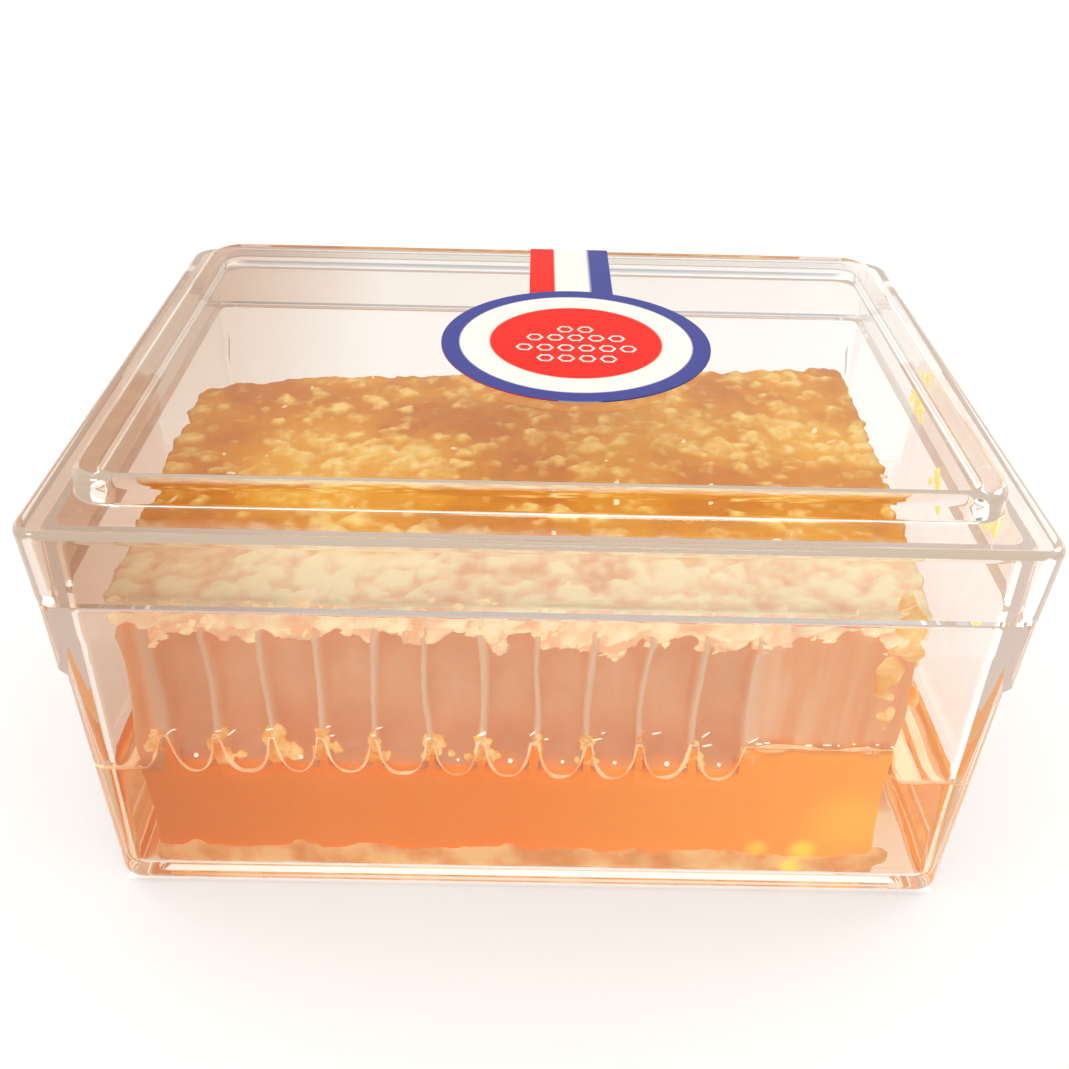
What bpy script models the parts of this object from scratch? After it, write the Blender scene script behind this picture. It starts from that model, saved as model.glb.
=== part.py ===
"""Comb honey in a shut clear box: a tub, a lift-off lid and a paper seal round a slab of comb
that stands in its own drained honey. Metres, +Z up, origin at the middle of the footprint."""
import math

import bmesh
import bpy

MM = 0.001
GAP = 0.3 * MM

# Lid: outer flange, raised middle panel and the skirt that slides over the tub's collar.
# Insets, here and for the tub, are measured inwards from the flange's outer edge.
LID_LENGTH = 92.0 * MM
LID_WIDTH = 71.5 * MM
LID_WALL = 1.2 * MM
FLANGE_TOP = 45.5 * MM
FLANGE_EDGE = 0.8 * MM
PANEL_TOP = FLANGE_TOP + 2.6 * MM
PANEL_INSET = 5.0 * MM
PANEL_WIDEN = 1.3 * MM
PANEL_WALL = 1.8 * MM
PANEL_EDGE = 1.0 * MM
PANEL_FOOT = 0.4 * MM
SKIRT_END = FLANGE_TOP - 8.0 * MM
SKIRT_DRAFT = 0.4 * MM
LID_CORNER = 2.6 * MM
PANEL_CORNER = 3.6 * MM
CORNER_STEPS = 5

# Tub: drafted walls on a shallow foot rim, a ledge under the skirt and a collar inside it.
FOOT_INSET = 2.3 * MM
FOOT_EDGE = 1.4 * MM
FOOT_RIM = 3.4 * MM
FOOT_RECESS = 0.6 * MM
FLOOR_TOP = 2.0 * MM
FLOOR_FILLET = 1.0 * MM
TUB_WALL = 1.25 * MM
WALL_TOP_INSET = 1.3 * MM
LEDGE_TOP = 37.1 * MM
LEDGE_TOP_INSET = 0.6 * MM
LEDGE_FOOT_INSET = 0.85 * MM
LEDGE_FOOT_FRONT = 33.9 * MM
LEDGE_FOOT_SIDE = 29.3 * MM
LEDGE_SLOPE = 1.0 * MM
COLLAR_INSET = 1.95 * MM
COLLAR_INNER_INSET = 3.05 * MM
COLLAR_TOP = 43.8 * MM
BREAK_EDGE = 0.3 * MM
TUB_CORNER = 2.2 * MM
TUB_INNER_CORNER = 1.4 * MM

# Comb slab, cut from a frame and laid flat: its cells stand upright between two sheets of caps.
COMB_LEFT = -39.2 * MM
COMB_FRONT = -30.9 * MM
COMB_CORNERS = (
    (COMB_LEFT, COMB_FRONT),
    (36.0 * MM, COMB_FRONT),
    (37.6 * MM, 18.4 * MM),
    (-27.0 * MM, 12.8 * MM),
    (-39.8 * MM, 8.6 * MM),
)
CELL_PITCH = 5.2 * MM
WAX_EDGE = 0.9 * MM
LOWER_CAPS_TOP = 5.6 * MM
CELLS_TOP = 33.4 * MM
UPPER_CAPS_TOP = 37.0 * MM
CAP_BULGE = 1.0 * MM
CAP_OVERHANG = 0.4 * MM
OPEN_START = -36.4 * MM
OPEN_CELLS = 11
OPEN_DEPTH = 4.9 * MM
SCORED_DEPTH = 1.2 * MM

# Heights at which the cut cells change depth: closed below the midrib, round at their bottoms.
CELL_BOTTOM = ((LOWER_CAPS_TOP + GAP, 0.1), (10.5 * MM, 0.1), (11.2 * MM, 0.7), (13.5 * MM, 1.0))

HONEY_LEVEL = 16.4 * MM

# Paper seal: a round medallion whose ribbon runs back over the lid and down onto the tub.
SEAL_CENTRE = (3.8 * MM, 0.8 * MM)
SEAL_RADIUS = 14.7 * MM
SEAL_FILM = 0.15 * MM
SEAL_LIFT = 0.1 * MM
RIBBON_SIDES = (-1.4 * MM, 8.5 * MM)
RIBBON_END = 24.0 * MM
MEDALLION_STEPS = 40


def clear_scene():
    for old in list(bpy.data.objects):
        bpy.data.objects.remove(old, do_unlink=True)


def finish(name, color, roughness, transmission=0.0):
    """Principled material of one plain colour."""
    material = bpy.data.materials.new(name)
    material.use_nodes = True
    shader = material.node_tree.nodes["Principled BSDF"]
    shader.inputs["Base Color"].default_value = (*color, 1.0)
    shader.inputs["Roughness"].default_value = roughness
    shader.inputs["Metallic"].default_value = 0.0
    shader.inputs["Transmission Weight"].default_value = transmission
    return material


def add_piece(name, builder, material, sharp_angle=35):
    """Turn a finished bmesh into a named object with its faces pointing out."""
    bmesh.ops.recalc_face_normals(builder, faces=builder.faces)
    mesh = bpy.data.meshes.new(name)
    builder.to_mesh(mesh)
    builder.free()
    mesh.shade_smooth()
    mesh.set_sharp_from_angle(angle=math.radians(sharp_angle))
    mesh.materials.append(material)
    piece = bpy.data.objects.new(name, mesh)
    bpy.context.scene.collection.objects.link(piece)
    return piece


def trim(piece, cutter, operation):
    """Cut a piece by a helper solid, which stays out of the model."""
    cutter.hide_render = True
    cutter.display_type = "WIRE"
    boolean = piece.modifiers.new(cutter.name, "BOOLEAN")
    boolean.solver = "EXACT"
    boolean.operation = operation
    boolean.object = cutter


def loft(rings):
    """Skin over rings of equal count, with a flat face closing each end."""
    builder = bmesh.new()
    loops = [[builder.verts.new(point) for point in ring] for ring in rings]
    count = len(loops[0])
    for lower, upper in zip(loops, loops[1:]):
        for i in range(count):
            j = (i + 1) % count
            builder.faces.new((lower[i], lower[j], upper[j], upper[i]))
    builder.faces.new(reversed(loops[0]))
    builder.faces.new(loops[-1])
    return builder


def raised(outline, height):
    """An outline of x, y points as a ring at one height."""
    return [(x, y, height) for x, y in outline]


def prism(outline, bottom, top):
    return loft([raised(outline, bottom), raised(outline, top)])


def box_ring(inset, height, corner, side_height=None, widen=0.0):
    """Rounded rectangle inside the lid's edge. With side_height, the short sides run at that
    height and each corner leads from one height to the other. widen moves the short sides out."""
    centre_x = LID_LENGTH / 2 - inset - corner + widen
    centre_y = LID_WIDTH / 2 - inset - corner
    points = []
    for quarter, (sign_x, sign_y) in enumerate(((1, 1), (-1, 1), (-1, -1), (1, -1))):
        for step in range(CORNER_STEPS + 1):
            angle = math.pi / 2 * (quarter + step / CORNER_STEPS)
            z = height
            if side_height is not None:
                lead = min(max(abs(math.cos(angle)) * 1.6 - 0.3, 0.0), 1.0)
                z += (side_height - height) * lead
            x = sign_x * centre_x + corner * math.cos(angle)
            y = sign_y * centre_y + corner * math.sin(angle)
            points.append((x, y, z))
    return points


def round_edge(inset, radius, steps=3):
    """Insets and drops of a quarter-round edge, from the flat face round to the side."""
    pairs = []
    for step in range(steps + 1):
        angle = math.pi / 2 * step / steps
        pairs.append((inset + radius * (1 - math.sin(angle)), radius * (1 - math.cos(angle))))
    return pairs


def outer_inset(height):
    """Outer face of the tub's drafted wall at a height."""
    return FOOT_INSET + (WALL_TOP_INSET - FOOT_INSET) * height / LEDGE_FOOT_SIDE


def inner_inset(height):
    """Inner face of the tub's wall at a height."""
    foot = FOOT_INSET + TUB_WALL
    return foot + (COLLAR_INNER_INSET - foot) * height / COLLAR_TOP


def make_tub(material):
    ledge_foot = LEDGE_FOOT_SIDE - LEDGE_SLOPE
    floor_side = FLOOR_TOP + FLOOR_FILLET
    collar_corner = TUB_CORNER - (COLLAR_INSET - LEDGE_TOP_INSET) / 2
    rings = [
        box_ring(FOOT_INSET + FOOT_RIM + FOOT_RECESS, FOOT_RECESS, TUB_INNER_CORNER),
        box_ring(FOOT_INSET + FOOT_RIM, 0.0, TUB_INNER_CORNER),
    ]
    rings += [box_ring(inset, rise, TUB_CORNER) for inset, rise in round_edge(FOOT_INSET, FOOT_EDGE)]
    rings += [
        box_ring(outer_inset(ledge_foot), LEDGE_FOOT_FRONT - LEDGE_SLOPE, TUB_CORNER, ledge_foot),
        box_ring(LEDGE_FOOT_INSET, LEDGE_FOOT_FRONT, TUB_CORNER, LEDGE_FOOT_SIDE),
        box_ring(LEDGE_TOP_INSET, LEDGE_TOP - BREAK_EDGE, TUB_CORNER),
        box_ring(LEDGE_TOP_INSET + BREAK_EDGE, LEDGE_TOP, TUB_CORNER),
        box_ring(COLLAR_INSET, LEDGE_TOP, collar_corner),
        box_ring(COLLAR_INSET, COLLAR_TOP - BREAK_EDGE, collar_corner),
        box_ring(COLLAR_INSET + BREAK_EDGE, COLLAR_TOP, collar_corner),
        box_ring(COLLAR_INNER_INSET, COLLAR_TOP, TUB_INNER_CORNER),
        box_ring(inner_inset(floor_side), floor_side, TUB_INNER_CORNER),
        box_ring(inner_inset(floor_side) + FLOOR_FILLET, FLOOR_TOP, TUB_INNER_CORNER),
    ]
    return add_piece("tub", loft(rings), material)


def lid_profile():
    """Outside of the lid from the panel out to the skirt's end: inset, height, corner and how
    much nearer the panel comes to the short sides."""
    profile = []
    for inset, drop in round_edge(PANEL_INSET, PANEL_EDGE):
        profile.append((inset, PANEL_TOP - drop, PANEL_CORNER, PANEL_WIDEN))
    for inset, height in ((PANEL_INSET - PANEL_FOOT / 3, FLANGE_TOP + PANEL_FOOT),
                          (PANEL_INSET - PANEL_FOOT, FLANGE_TOP)):
        profile.append((inset, height, PANEL_CORNER, PANEL_WIDEN))
    for inset, drop in round_edge(0.0, FLANGE_EDGE):
        profile.append((inset, FLANGE_TOP - drop, LID_CORNER, 0.0))
    profile.append((SKIRT_DRAFT, SKIRT_END, LID_CORNER, 0.0))
    return profile


def make_lid(material):
    rings = [
        box_ring(inset, height, corner, widen=widen)
        for inset, height, corner, widen in lid_profile()
    ]
    inner_corner = LID_CORNER - LID_WALL
    step = PANEL_INSET + PANEL_WALL
    step_corner = PANEL_CORNER - LID_WALL
    rings += [
        box_ring(SKIRT_DRAFT + LID_WALL, SKIRT_END, inner_corner),
        box_ring(LID_WALL, FLANGE_TOP - LID_WALL, inner_corner),
        box_ring(step, FLANGE_TOP - LID_WALL, step_corner, widen=PANEL_WIDEN),
        box_ring(step + PANEL_FOOT, PANEL_TOP - LID_WALL, step_corner, widen=PANEL_WIDEN),
    ]
    return add_piece("lid", loft(rings), material)


def shift_path(path, distance):
    """Move a path of y, z points outwards by a distance, keeping its corners."""
    moved = []
    for i, (y, z) in enumerate(path):
        normals = []
        for a, b in zip(path[max(i - 1, 0):i + 1], path[max(i, 1):i + 2]):
            length = math.dist(a, b)
            normals.append(((a[1] - b[1]) / length, (b[0] - a[0]) / length))
        out_y = sum(normal[0] for normal in normals)
        out_z = sum(normal[1] for normal in normals)
        scale = distance * len(normals) / (out_y ** 2 + out_z ** 2)
        moved.append((y + out_y * scale, z + out_z * scale))
    return moved


def ribbon_path():
    """The y, z points that the ribbon lies on, over the lid's back edge and down the tub."""
    back = LID_WIDTH / 2
    path = [(back - inset, height) for inset, height, corner, widen in lid_profile()]
    path.append((back - LEDGE_TOP_INSET, LEDGE_TOP - BREAK_EDGE))
    path.append((back - LEDGE_FOOT_INSET, LEDGE_FOOT_FRONT))
    wall_start = LEDGE_FOOT_FRONT - 2 * LEDGE_SLOPE
    path.append((back - outer_inset(LEDGE_FOOT_SIDE), wall_start))
    path.append((back - outer_inset(RIBBON_END), RIBBON_END))
    return path


def medallion_arc():
    """The medallion's edge, from the ribbon's left side round the front to its right side."""
    right, left = (math.acos((x - SEAL_CENTRE[0]) / SEAL_RADIUS) for x in reversed(RIBBON_SIDES))
    sweep = 2 * math.pi - (left - right)
    points = []
    for step in range(MEDALLION_STEPS + 1):
        angle = left + sweep * step / MEDALLION_STEPS
        x = SEAL_CENTRE[0] + SEAL_RADIUS * math.cos(angle)
        points.append((x, SEAL_CENTRE[1] + SEAL_RADIUS * math.sin(angle)))
    return points


def make_seal(material):
    """The medallion and the first stretch of ribbon are one flat sheet, and the ribbon's
    further stretches follow the path, each a strip between its two sides."""
    builder = bmesh.new()
    rims = []
    for lift in (SEAL_LIFT, SEAL_LIFT + SEAL_FILM):
        layer = shift_path(ribbon_path(), lift)
        arc = [builder.verts.new((x, y, layer[0][1])) for x, y in medallion_arc()]
        left, right = ([builder.verts.new((x, y, z)) for y, z in layer] for x in RIBBON_SIDES)
        builder.faces.new(arc + [right[0], left[0]])
        for i in range(len(layer) - 1):
            builder.faces.new((left[i], right[i], right[i + 1], left[i + 1]))
        rims.append(left[::-1] + arc + right)
    lower, upper = rims
    for i in range(len(lower)):
        j = (i + 1) % len(lower)
        builder.faces.new((lower[i], lower[j], upper[j], upper[i]))
    return add_piece("seal_sticker", builder, material)


def grow(outline, distance):
    """Move a closed anticlockwise outline outwards by a distance, keeping its corners."""
    grown = []
    for i, point in enumerate(outline):
        before = outline[i - 1]
        after = outline[(i + 1) % len(outline)]
        normal_x = normal_y = 0.0
        for a, b in ((before, point), (point, after)):
            length = math.dist(a, b)
            normal_x += (b[1] - a[1]) / length
            normal_y += (a[0] - b[0]) / length
        scale = 2 * distance / (normal_x ** 2 + normal_y ** 2)
        grown.append((point[0] + normal_x * scale, point[1] + normal_y * scale))
    return grown


def cut_cells(start, end, cells, shape):
    """Points along one cut side. Each cell follows the shape, whose pairs give how far the
    point is from the cell's start and how deep it lies; wax edges stay on the cut."""
    length = math.dist(start, end)
    along = ((end[0] - start[0]) / length, (end[1] - start[1]) / length)
    pitch = length / cells
    points = []
    for cell in range(cells):
        for share, depth in shape:
            distance = cell * pitch + WAX_EDGE / 2 + share * (pitch - WAX_EDGE)
            x = start[0] + along[0] * distance - along[1] * depth
            points.append((x, start[1] + along[1] * distance + along[0] * depth))
    return points


def cells_outline(depth):
    """Outline of the cell body. Along most of the front the knife opened the cells, and on
    the other sides it only scored them. Depth runs from 0, closed, to 1, fully cut."""
    opened = OPEN_DEPTH * depth
    scored = SCORED_DEPTH * depth
    open_shape = ((0, 0), (0, 0.66 * opened), (0.5, opened), (1, 0.66 * opened), (1, 0))
    scored_shape = ((0, 0), (0.5, scored), (1, 0))
    open_start = (OPEN_START, COMB_FRONT)
    open_end = (OPEN_START + OPEN_CELLS * CELL_PITCH, COMB_FRONT)
    outline = [COMB_CORNERS[0]] + cut_cells(open_start, open_end, OPEN_CELLS, open_shape)
    sides = (open_end, *COMB_CORNERS[1:], COMB_CORNERS[0])
    for start, end in zip(sides, sides[1:]):
        cells = round(math.dist(start, end) / CELL_PITCH)
        outline += cut_cells(start, end, cells, scored_shape)
    return outline


def cells_body(room=0.0):
    """The cell body, or with room the larger space that the honey leaves round it."""
    rings = []
    for height, depth in (*CELL_BOTTOM, (CELLS_TOP, 1.0)):
        lift = -room if not rings else room
        rings.append(raised(grow(cells_outline(depth), room), height + lift))
    return loft(rings)


def make_cells(material):
    return add_piece("comb_cells", cells_body(), material)


def make_lower_caps(material):
    return add_piece(
        "comb_caps_lower", prism(COMB_CORNERS, FLOOR_TOP + GAP, LOWER_CAPS_TOP), material
    )


def cap_sheet(base, top):
    """A sheet of six-sided caps that bulge in the middle, larger than the slab."""
    builder = bmesh.new()
    radius = CELL_PITCH / math.sqrt(3)
    lowest = [min(corner[axis] for corner in COMB_CORNERS) for axis in (0, 1)]
    highest = [max(corner[axis] for corner in COMB_CORNERS) for axis in (0, 1)]
    columns = math.ceil((highest[0] - lowest[0]) / CELL_PITCH) + 3
    rows = math.ceil((highest[1] - lowest[1]) / (1.5 * radius)) + 3
    for row in range(rows):
        for column in range(columns):
            x = lowest[0] + (column - 1 + 0.5 * (row % 2)) * CELL_PITCH
            y = lowest[1] + (row - 1) * 1.5 * radius
            bulge = CAP_BULGE * (0.7 + 0.3 * math.sin(5 * column + 3 * row))
            middle = builder.verts.new((x, y, top + bulge))
            rim = []
            for corner in range(6):
                angle = math.pi / 3 * (corner + 0.5)
                at = (x + radius * math.cos(angle), y + radius * math.sin(angle), top)
                rim.append(builder.verts.new(at))
            for i in range(6):
                builder.faces.new((middle, rim[i], rim[(i + 1) % 6]))
    bmesh.ops.remove_doubles(builder, verts=builder.verts, dist=0.05 * MM)
    edges = [edge for edge in builder.edges if edge.is_boundary]
    skirt = bmesh.ops.extrude_edge_only(builder, edges=edges)["geom"]
    for item in skirt:
        if isinstance(item, bmesh.types.BMVert):
            item.co.z = base
    bottom = [edge for edge in builder.edges if edge.is_boundary]
    bmesh.ops.contextual_create(builder, geom=bottom)
    return builder


def make_upper_caps(material):
    sheet = add_piece("comb_caps_upper", cap_sheet(CELLS_TOP + GAP, UPPER_CAPS_TOP), material, 60)
    slab = prism(grow(COMB_CORNERS, CAP_OVERHANG), 0.0, PANEL_TOP)
    trim(sheet, add_piece("slab_outline", slab, material), "INTERSECT")
    return sheet


def make_honey(material):
    """Drained honey, up to its level in the tub, round the slab and in its open cells."""
    floor = FLOOR_TOP + GAP
    side = floor + FLOOR_FILLET
    rings = [
        box_ring(inner_inset(side) + FLOOR_FILLET + GAP, floor, TUB_INNER_CORNER),
        box_ring(inner_inset(side) + GAP, side, TUB_INNER_CORNER),
        box_ring(inner_inset(HONEY_LEVEL) + GAP, HONEY_LEVEL, TUB_INNER_CORNER),
    ]
    pool = add_piece("honey_pool", loft(rings), material)
    caps_room = prism(grow(COMB_CORNERS, GAP), 0.0, LOWER_CAPS_TOP + GAP)
    trim(pool, add_piece("caps_room", caps_room, material), "DIFFERENCE")
    trim(pool, add_piece("cells_room", cells_body(GAP), material), "DIFFERENCE")
    return pool


clear_scene()
clear_plastic = finish("clear_plastic", (0.90, 0.87, 0.85), 0.05, transmission=1.0)
make_tub(clear_plastic)
make_lid(clear_plastic)
make_seal(finish("seal_paper", (0.85, 0.83, 0.72), 0.45))
make_upper_caps(finish("capping_wax", (0.86, 0.66, 0.36), 0.55))
make_cells(finish("cell_wax", (0.83, 0.48, 0.26), 0.4))
make_lower_caps(finish("lower_wax", (0.80, 0.52, 0.27), 0.55))
make_honey(finish("honey", (0.80, 0.30, 0.06), 0.1, transmission=0.6))
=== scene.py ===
"""Comb honey in a shut clear box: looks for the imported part, one section for each piece."""
import math
import random

import bmesh
import bpy
import numpy as np
from mathutils import Matrix, Vector, noise


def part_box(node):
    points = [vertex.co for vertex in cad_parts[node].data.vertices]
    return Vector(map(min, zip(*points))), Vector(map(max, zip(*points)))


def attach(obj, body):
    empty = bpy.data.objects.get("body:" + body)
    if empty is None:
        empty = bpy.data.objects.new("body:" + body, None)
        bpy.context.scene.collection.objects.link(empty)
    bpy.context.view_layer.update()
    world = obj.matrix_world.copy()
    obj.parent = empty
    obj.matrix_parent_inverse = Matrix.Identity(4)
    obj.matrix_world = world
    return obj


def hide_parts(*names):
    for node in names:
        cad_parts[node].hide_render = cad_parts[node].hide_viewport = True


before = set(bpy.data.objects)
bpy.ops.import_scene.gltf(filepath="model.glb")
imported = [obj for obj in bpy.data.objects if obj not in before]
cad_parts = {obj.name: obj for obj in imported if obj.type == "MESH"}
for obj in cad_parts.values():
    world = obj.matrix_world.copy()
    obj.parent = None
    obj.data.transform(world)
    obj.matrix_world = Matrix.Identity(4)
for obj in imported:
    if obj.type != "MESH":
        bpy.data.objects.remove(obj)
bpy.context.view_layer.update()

MM = 0.001


# ---- Table top, light and camera ------------------------------------------------------------
# The box stands on a pale table under a wide bright sky of studio cloth. Its front and
# two cards in it are darker, so that clear edges read grey and beige against the white.

def add_node(tree, kind, inputs=None, **settings):
    """Add a shader node. Inputs take a plain value, or another node's socket to link."""
    node = tree.nodes.new(kind)
    for name, value in settings.items():
        setattr(node, name, value)
    for name, value in (inputs or {}).items():
        if isinstance(value, bpy.types.NodeSocket):
            tree.links.new(value, node.inputs[name])
        else:
            node.inputs[name].default_value = value
    return node


def color_ramp(tree, factor, stops):
    """Ramp through stops of position and colour."""
    ramp = add_node(tree, "ShaderNodeValToRGB", {"Fac": factor})
    elements = ramp.color_ramp.elements
    while len(elements) < len(stops):
        elements.new(0.5)
    for element, (position, color) in zip(elements, stops):
        element.position = position
        element.color = (*color, 1.0)
    return ramp.outputs["Color"]


def compute(tree, operation, *values):
    """Work out one number from plain or linked numbers."""
    return add_node(tree, "ShaderNodeMath", dict(enumerate(values)), operation=operation).outputs[0]


def measure(tree, operation, first, second):
    """Compare two places or two ways: one number."""
    pair = add_node(tree, "ShaderNodeVectorMath", {0: first, 1: second}, operation=operation)
    return pair.outputs["Value"]


def share_between(tree, value, start, end, low=0.0, high=1.0):
    """Lead from low to high while a value goes from start to end."""
    return add_node(tree, "ShaderNodeMapRange", {
        "Value": value, "From Min": start, "From Max": end, "To Min": low, "To Max": high,
    }).outputs[0]


def object_axes(tree):
    """The place on the object, and its X, Y and Z."""
    place = add_node(tree, "ShaderNodeTexCoord").outputs["Object"]
    return place, add_node(tree, "ShaderNodeSeparateXYZ", {"Vector": place}).outputs


def new_finish(name, looks):
    """A new material, its node tree and its shader, whose plain inputs are given by name."""
    finish = bpy.data.materials.new(name)
    finish.use_nodes = True
    finish.cycles.emission_sampling = "NONE"
    shader = finish.node_tree.nodes["Principled BSDF"]
    for socket, value in looks.items():
        shader.inputs[socket].default_value = value
    return finish, finish.node_tree, shader


def paint(tree, shader, color, glow=None):
    """Link a surface's colour, and the colour it glows with."""
    tree.links.new(color, shader.inputs["Base Color"])
    if glow is not None:
        tree.links.new(glow, shader.inputs["Emission Color"])


SKY_STRENGTH = 1.8
# A darker card dims the sky round its middle: where it hangs, its soft edge and what it lets by.
CARDS = (
    ((0.0, 0.88, 0.47), (0.75, 0.97), 0.34),
    ((0.97, -0.15, 0.2), (0.9, 0.96), 0.25),
)
WINDOWS = (((-0.62, -0.25, 0.74), 40.0), ((0.72, 0.42, 0.55), 40.0), ((0.1, -0.62, 0.78), 7.0))
WINDOW_EDGE = (0.985, 0.992)

world = bpy.data.worlds.new("studio_cloth")
bpy.context.scene.world = world
world.use_nodes = True
world.cycles.sampling_method = "NONE"
sky = world.node_tree
sky_way = add_node(sky, "ShaderNodeTexCoord").outputs["Generated"]
sky_axes = add_node(sky, "ShaderNodeSeparateXYZ", {"Vector": sky_way}).outputs
sky_back = compute(sky, "MULTIPLY_ADD", sky_axes["Y"], 0.6, sky_axes["Z"])
sky_color = color_ramp(sky, share_between(sky, sky_back, -0.7, 0.9), (
    (0.0, (0.42, 0.36, 0.32)),
    (0.35, (0.72, 0.66, 0.62)),
    (0.6, (1.0, 0.98, 0.96)),
    (1.0, (1.0, 1.0, 1.0)),
))
sky.links.new(sky_color, sky.nodes["Background"].inputs["Color"])
sky_strength = SKY_STRENGTH
for card_way, card_edge, share in CARDS:
    toward = measure(sky, "DOT_PRODUCT", sky_way, Vector(card_way).normalized())
    sky_strength = compute(sky, "MULTIPLY", sky_strength, share_between(sky, toward, *card_edge, 1.0, share))
# Light that has bounced off something rough doesn't see the windows, which keeps the picture clean.
bounces = add_node(sky, "ShaderNodeLightPath").outputs["Diffuse Depth"]
for window_way, brightness in WINDOWS:
    toward = measure(sky, "DOT_PRODUCT", sky_way, Vector(window_way).normalized())
    pane = share_between(sky, toward, *WINDOW_EDGE, 0.0, brightness)
    sky_strength = compute(sky, "MULTIPLY_ADD", pane, compute(sky, "LESS_THAN", bounces, 0.5), sky_strength)
sky.links.new(sky_strength, sky.nodes["Background"].inputs["Strength"])

TABLE_SIZE = 6.0
TABLE_DROP = 0.2 * MM
LIT_REACH = (43.5 * MM, 33.0 * MM)
table_mesh = bpy.data.meshes.new("table_top")
table_mesh.from_pydata(
    [(x * TABLE_SIZE / 2, y * TABLE_SIZE / 2, -TABLE_DROP) for x, y in ((-1, -1), (1, -1), (1, 1), (-1, 1))],
    [], [(0, 1, 2, 3)],
)
table = bpy.data.objects.new("table_top", table_mesh)
bpy.context.scene.collection.objects.link(table)
table_finish, table_tree, table_shader = new_finish("pale_table", {
    "Roughness": 0.7, "Emission Color": (1.0, 0.95, 0.91, 1.0)})
table_grain = add_node(table_tree, "ShaderNodeTexNoise", {"Scale": 9.0, "Detail": 4.0})
table_color = color_ramp(table_tree, table_grain.outputs["Fac"], (
    (0.3, (0.46, 0.455, 0.45)), (0.7, (0.48, 0.475, 0.47)),
))
paint(table_tree, table_shader, table_color)
# The table glows brighter under the box: a painted pool of light, standing in for the light that the clear
# walls gather there.
_, table_axes = object_axes(table_tree)
table_reach = compute(table_tree, "MAXIMUM", *(
    compute(table_tree, "MULTIPLY", compute(table_tree, "ABSOLUTE", table_axes[i]), 1 / LIT_REACH[i])
    for i in (0, 1)
))
table_tree.links.new(share_between(table_tree, table_reach, 1.0, 0.97, 0.4, 1.0),
                     table_shader.inputs["Emission Strength"])
table_mesh.materials.append(table_finish)


CAMERA_PLACE = (-1.56 * MM, -123.13 * MM, 102.59 * MM)
# How far the camera looks down from level, how far right, and its roll.
CAMERA_DOWN, CAMERA_TURN, CAMERA_ROLL = (math.radians(angle) for angle in (32.69, 0.62, 1.51))
CAMERA_LENS = 41.15

camera_data = bpy.data.cameras.new("camera")
camera_data.lens = CAMERA_LENS
camera_data.sensor_width = 36.0
camera_data.clip_start = 0.01
camera = bpy.data.objects.new("camera", camera_data)
bpy.context.scene.collection.objects.link(camera)
camera.matrix_world = (
    Matrix.Translation(CAMERA_PLACE) @ Matrix.Rotation(-CAMERA_TURN, 4, "Z")
    @ Matrix.Rotation(math.pi / 2 - CAMERA_DOWN, 4, "X") @ Matrix.Rotation(CAMERA_ROLL, 4, "Z")
)
bpy.context.scene.camera = camera
bpy.context.scene.view_settings.view_transform = "Standard"


# ---- Tub ------------------------------------------------------------------------------------
# The tub is moulded in clear polystyrene: drafted walls on a shallow foot rim, a ledge that the
# lid's skirt meets, and a thin collar inside the skirt. It is polished all over.

LID_LENGTH, LID_WIDTH = (high - low for low, high in zip(*(corner[:2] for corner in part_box("lid"))))
PANEL_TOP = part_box("lid")[1].z
FLANGE_TOP = PANEL_TOP - 2.6 * MM
CORNER_STEPS = 12
FOOT_INSET = 2.3 * MM
FOOT_EDGE = 1.4 * MM
FOOT_RIM = 3.4 * MM
FOOT_RECESS = 0.6 * MM
FLOOR_TOP = 2.0 * MM
FLOOR_FILLET = 1.0 * MM
TUB_WALL = 1.25 * MM
WALL_TOP_INSET = 1.3 * MM
LEDGE_TOP = 37.1 * MM
LEDGE_TOP_INSET = 0.6 * MM
LEDGE_FOOT_INSET = 0.85 * MM
LEDGE_FOOT_FRONT = 33.9 * MM
LEDGE_FOOT_SIDE = 29.3 * MM
LEDGE_SLOPE = 1.0 * MM
COLLAR_INSET = 1.95 * MM
COLLAR_INNER_INSET = 3.05 * MM
COLLAR_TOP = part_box("tub")[1].z
BREAK_EDGE = 0.3 * MM
PLASTIC_SHARP = 35
LATE_TURNS = 8.5
TUB_CORNER = 2.2 * MM
TUB_INNER_CORNER = 1.4 * MM


def box_ring(inset, height, corner, side_height=None, widen=0.0):
    """Rounded rectangle inside the lid's edge. With side_height, the short sides run at that
    height and each corner leads from one height to the other. widen moves the short sides out."""
    centre_x = LID_LENGTH / 2 - inset - corner + widen
    centre_y = LID_WIDTH / 2 - inset - corner
    points = []
    for quarter, (sign_x, sign_y) in enumerate(((1, 1), (-1, 1), (-1, -1), (1, -1))):
        for step in range(CORNER_STEPS + 1):
            angle = math.pi / 2 * (quarter + step / CORNER_STEPS)
            z = height
            if side_height is not None:
                lead = min(max(abs(math.cos(angle)) * 1.6 - 0.3, 0.0), 1.0)
                z += (side_height - height) * lead * lead * (3 - 2 * lead)
            x = sign_x * centre_x + corner * math.cos(angle)
            y = sign_y * centre_y + corner * math.sin(angle)
            points.append((x, y, z))
    return points


def round_edge(inset, radius, steps=6):
    """Insets and drops of a quarter-round edge, from the flat face round to the side."""
    pairs = []
    for step in range(steps + 1):
        angle = math.pi / 2 * step / steps
        pairs.append((inset + radius * (1 - math.sin(angle)), radius * (1 - math.cos(angle))))
    return pairs


def fillet(start, corner, end, steps=4):
    """Insets and heights that round a corner between two places."""
    points = []
    for step in range(steps + 1):
        t = step / steps
        weights = ((1 - t) ** 2, 2 * t * (1 - t), t * t)
        points.append(tuple(
            sum(weight * place[axis] for weight, place in zip(weights, (start, corner, end)))
            for axis in (0, 1)
        ))
    return points


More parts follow.
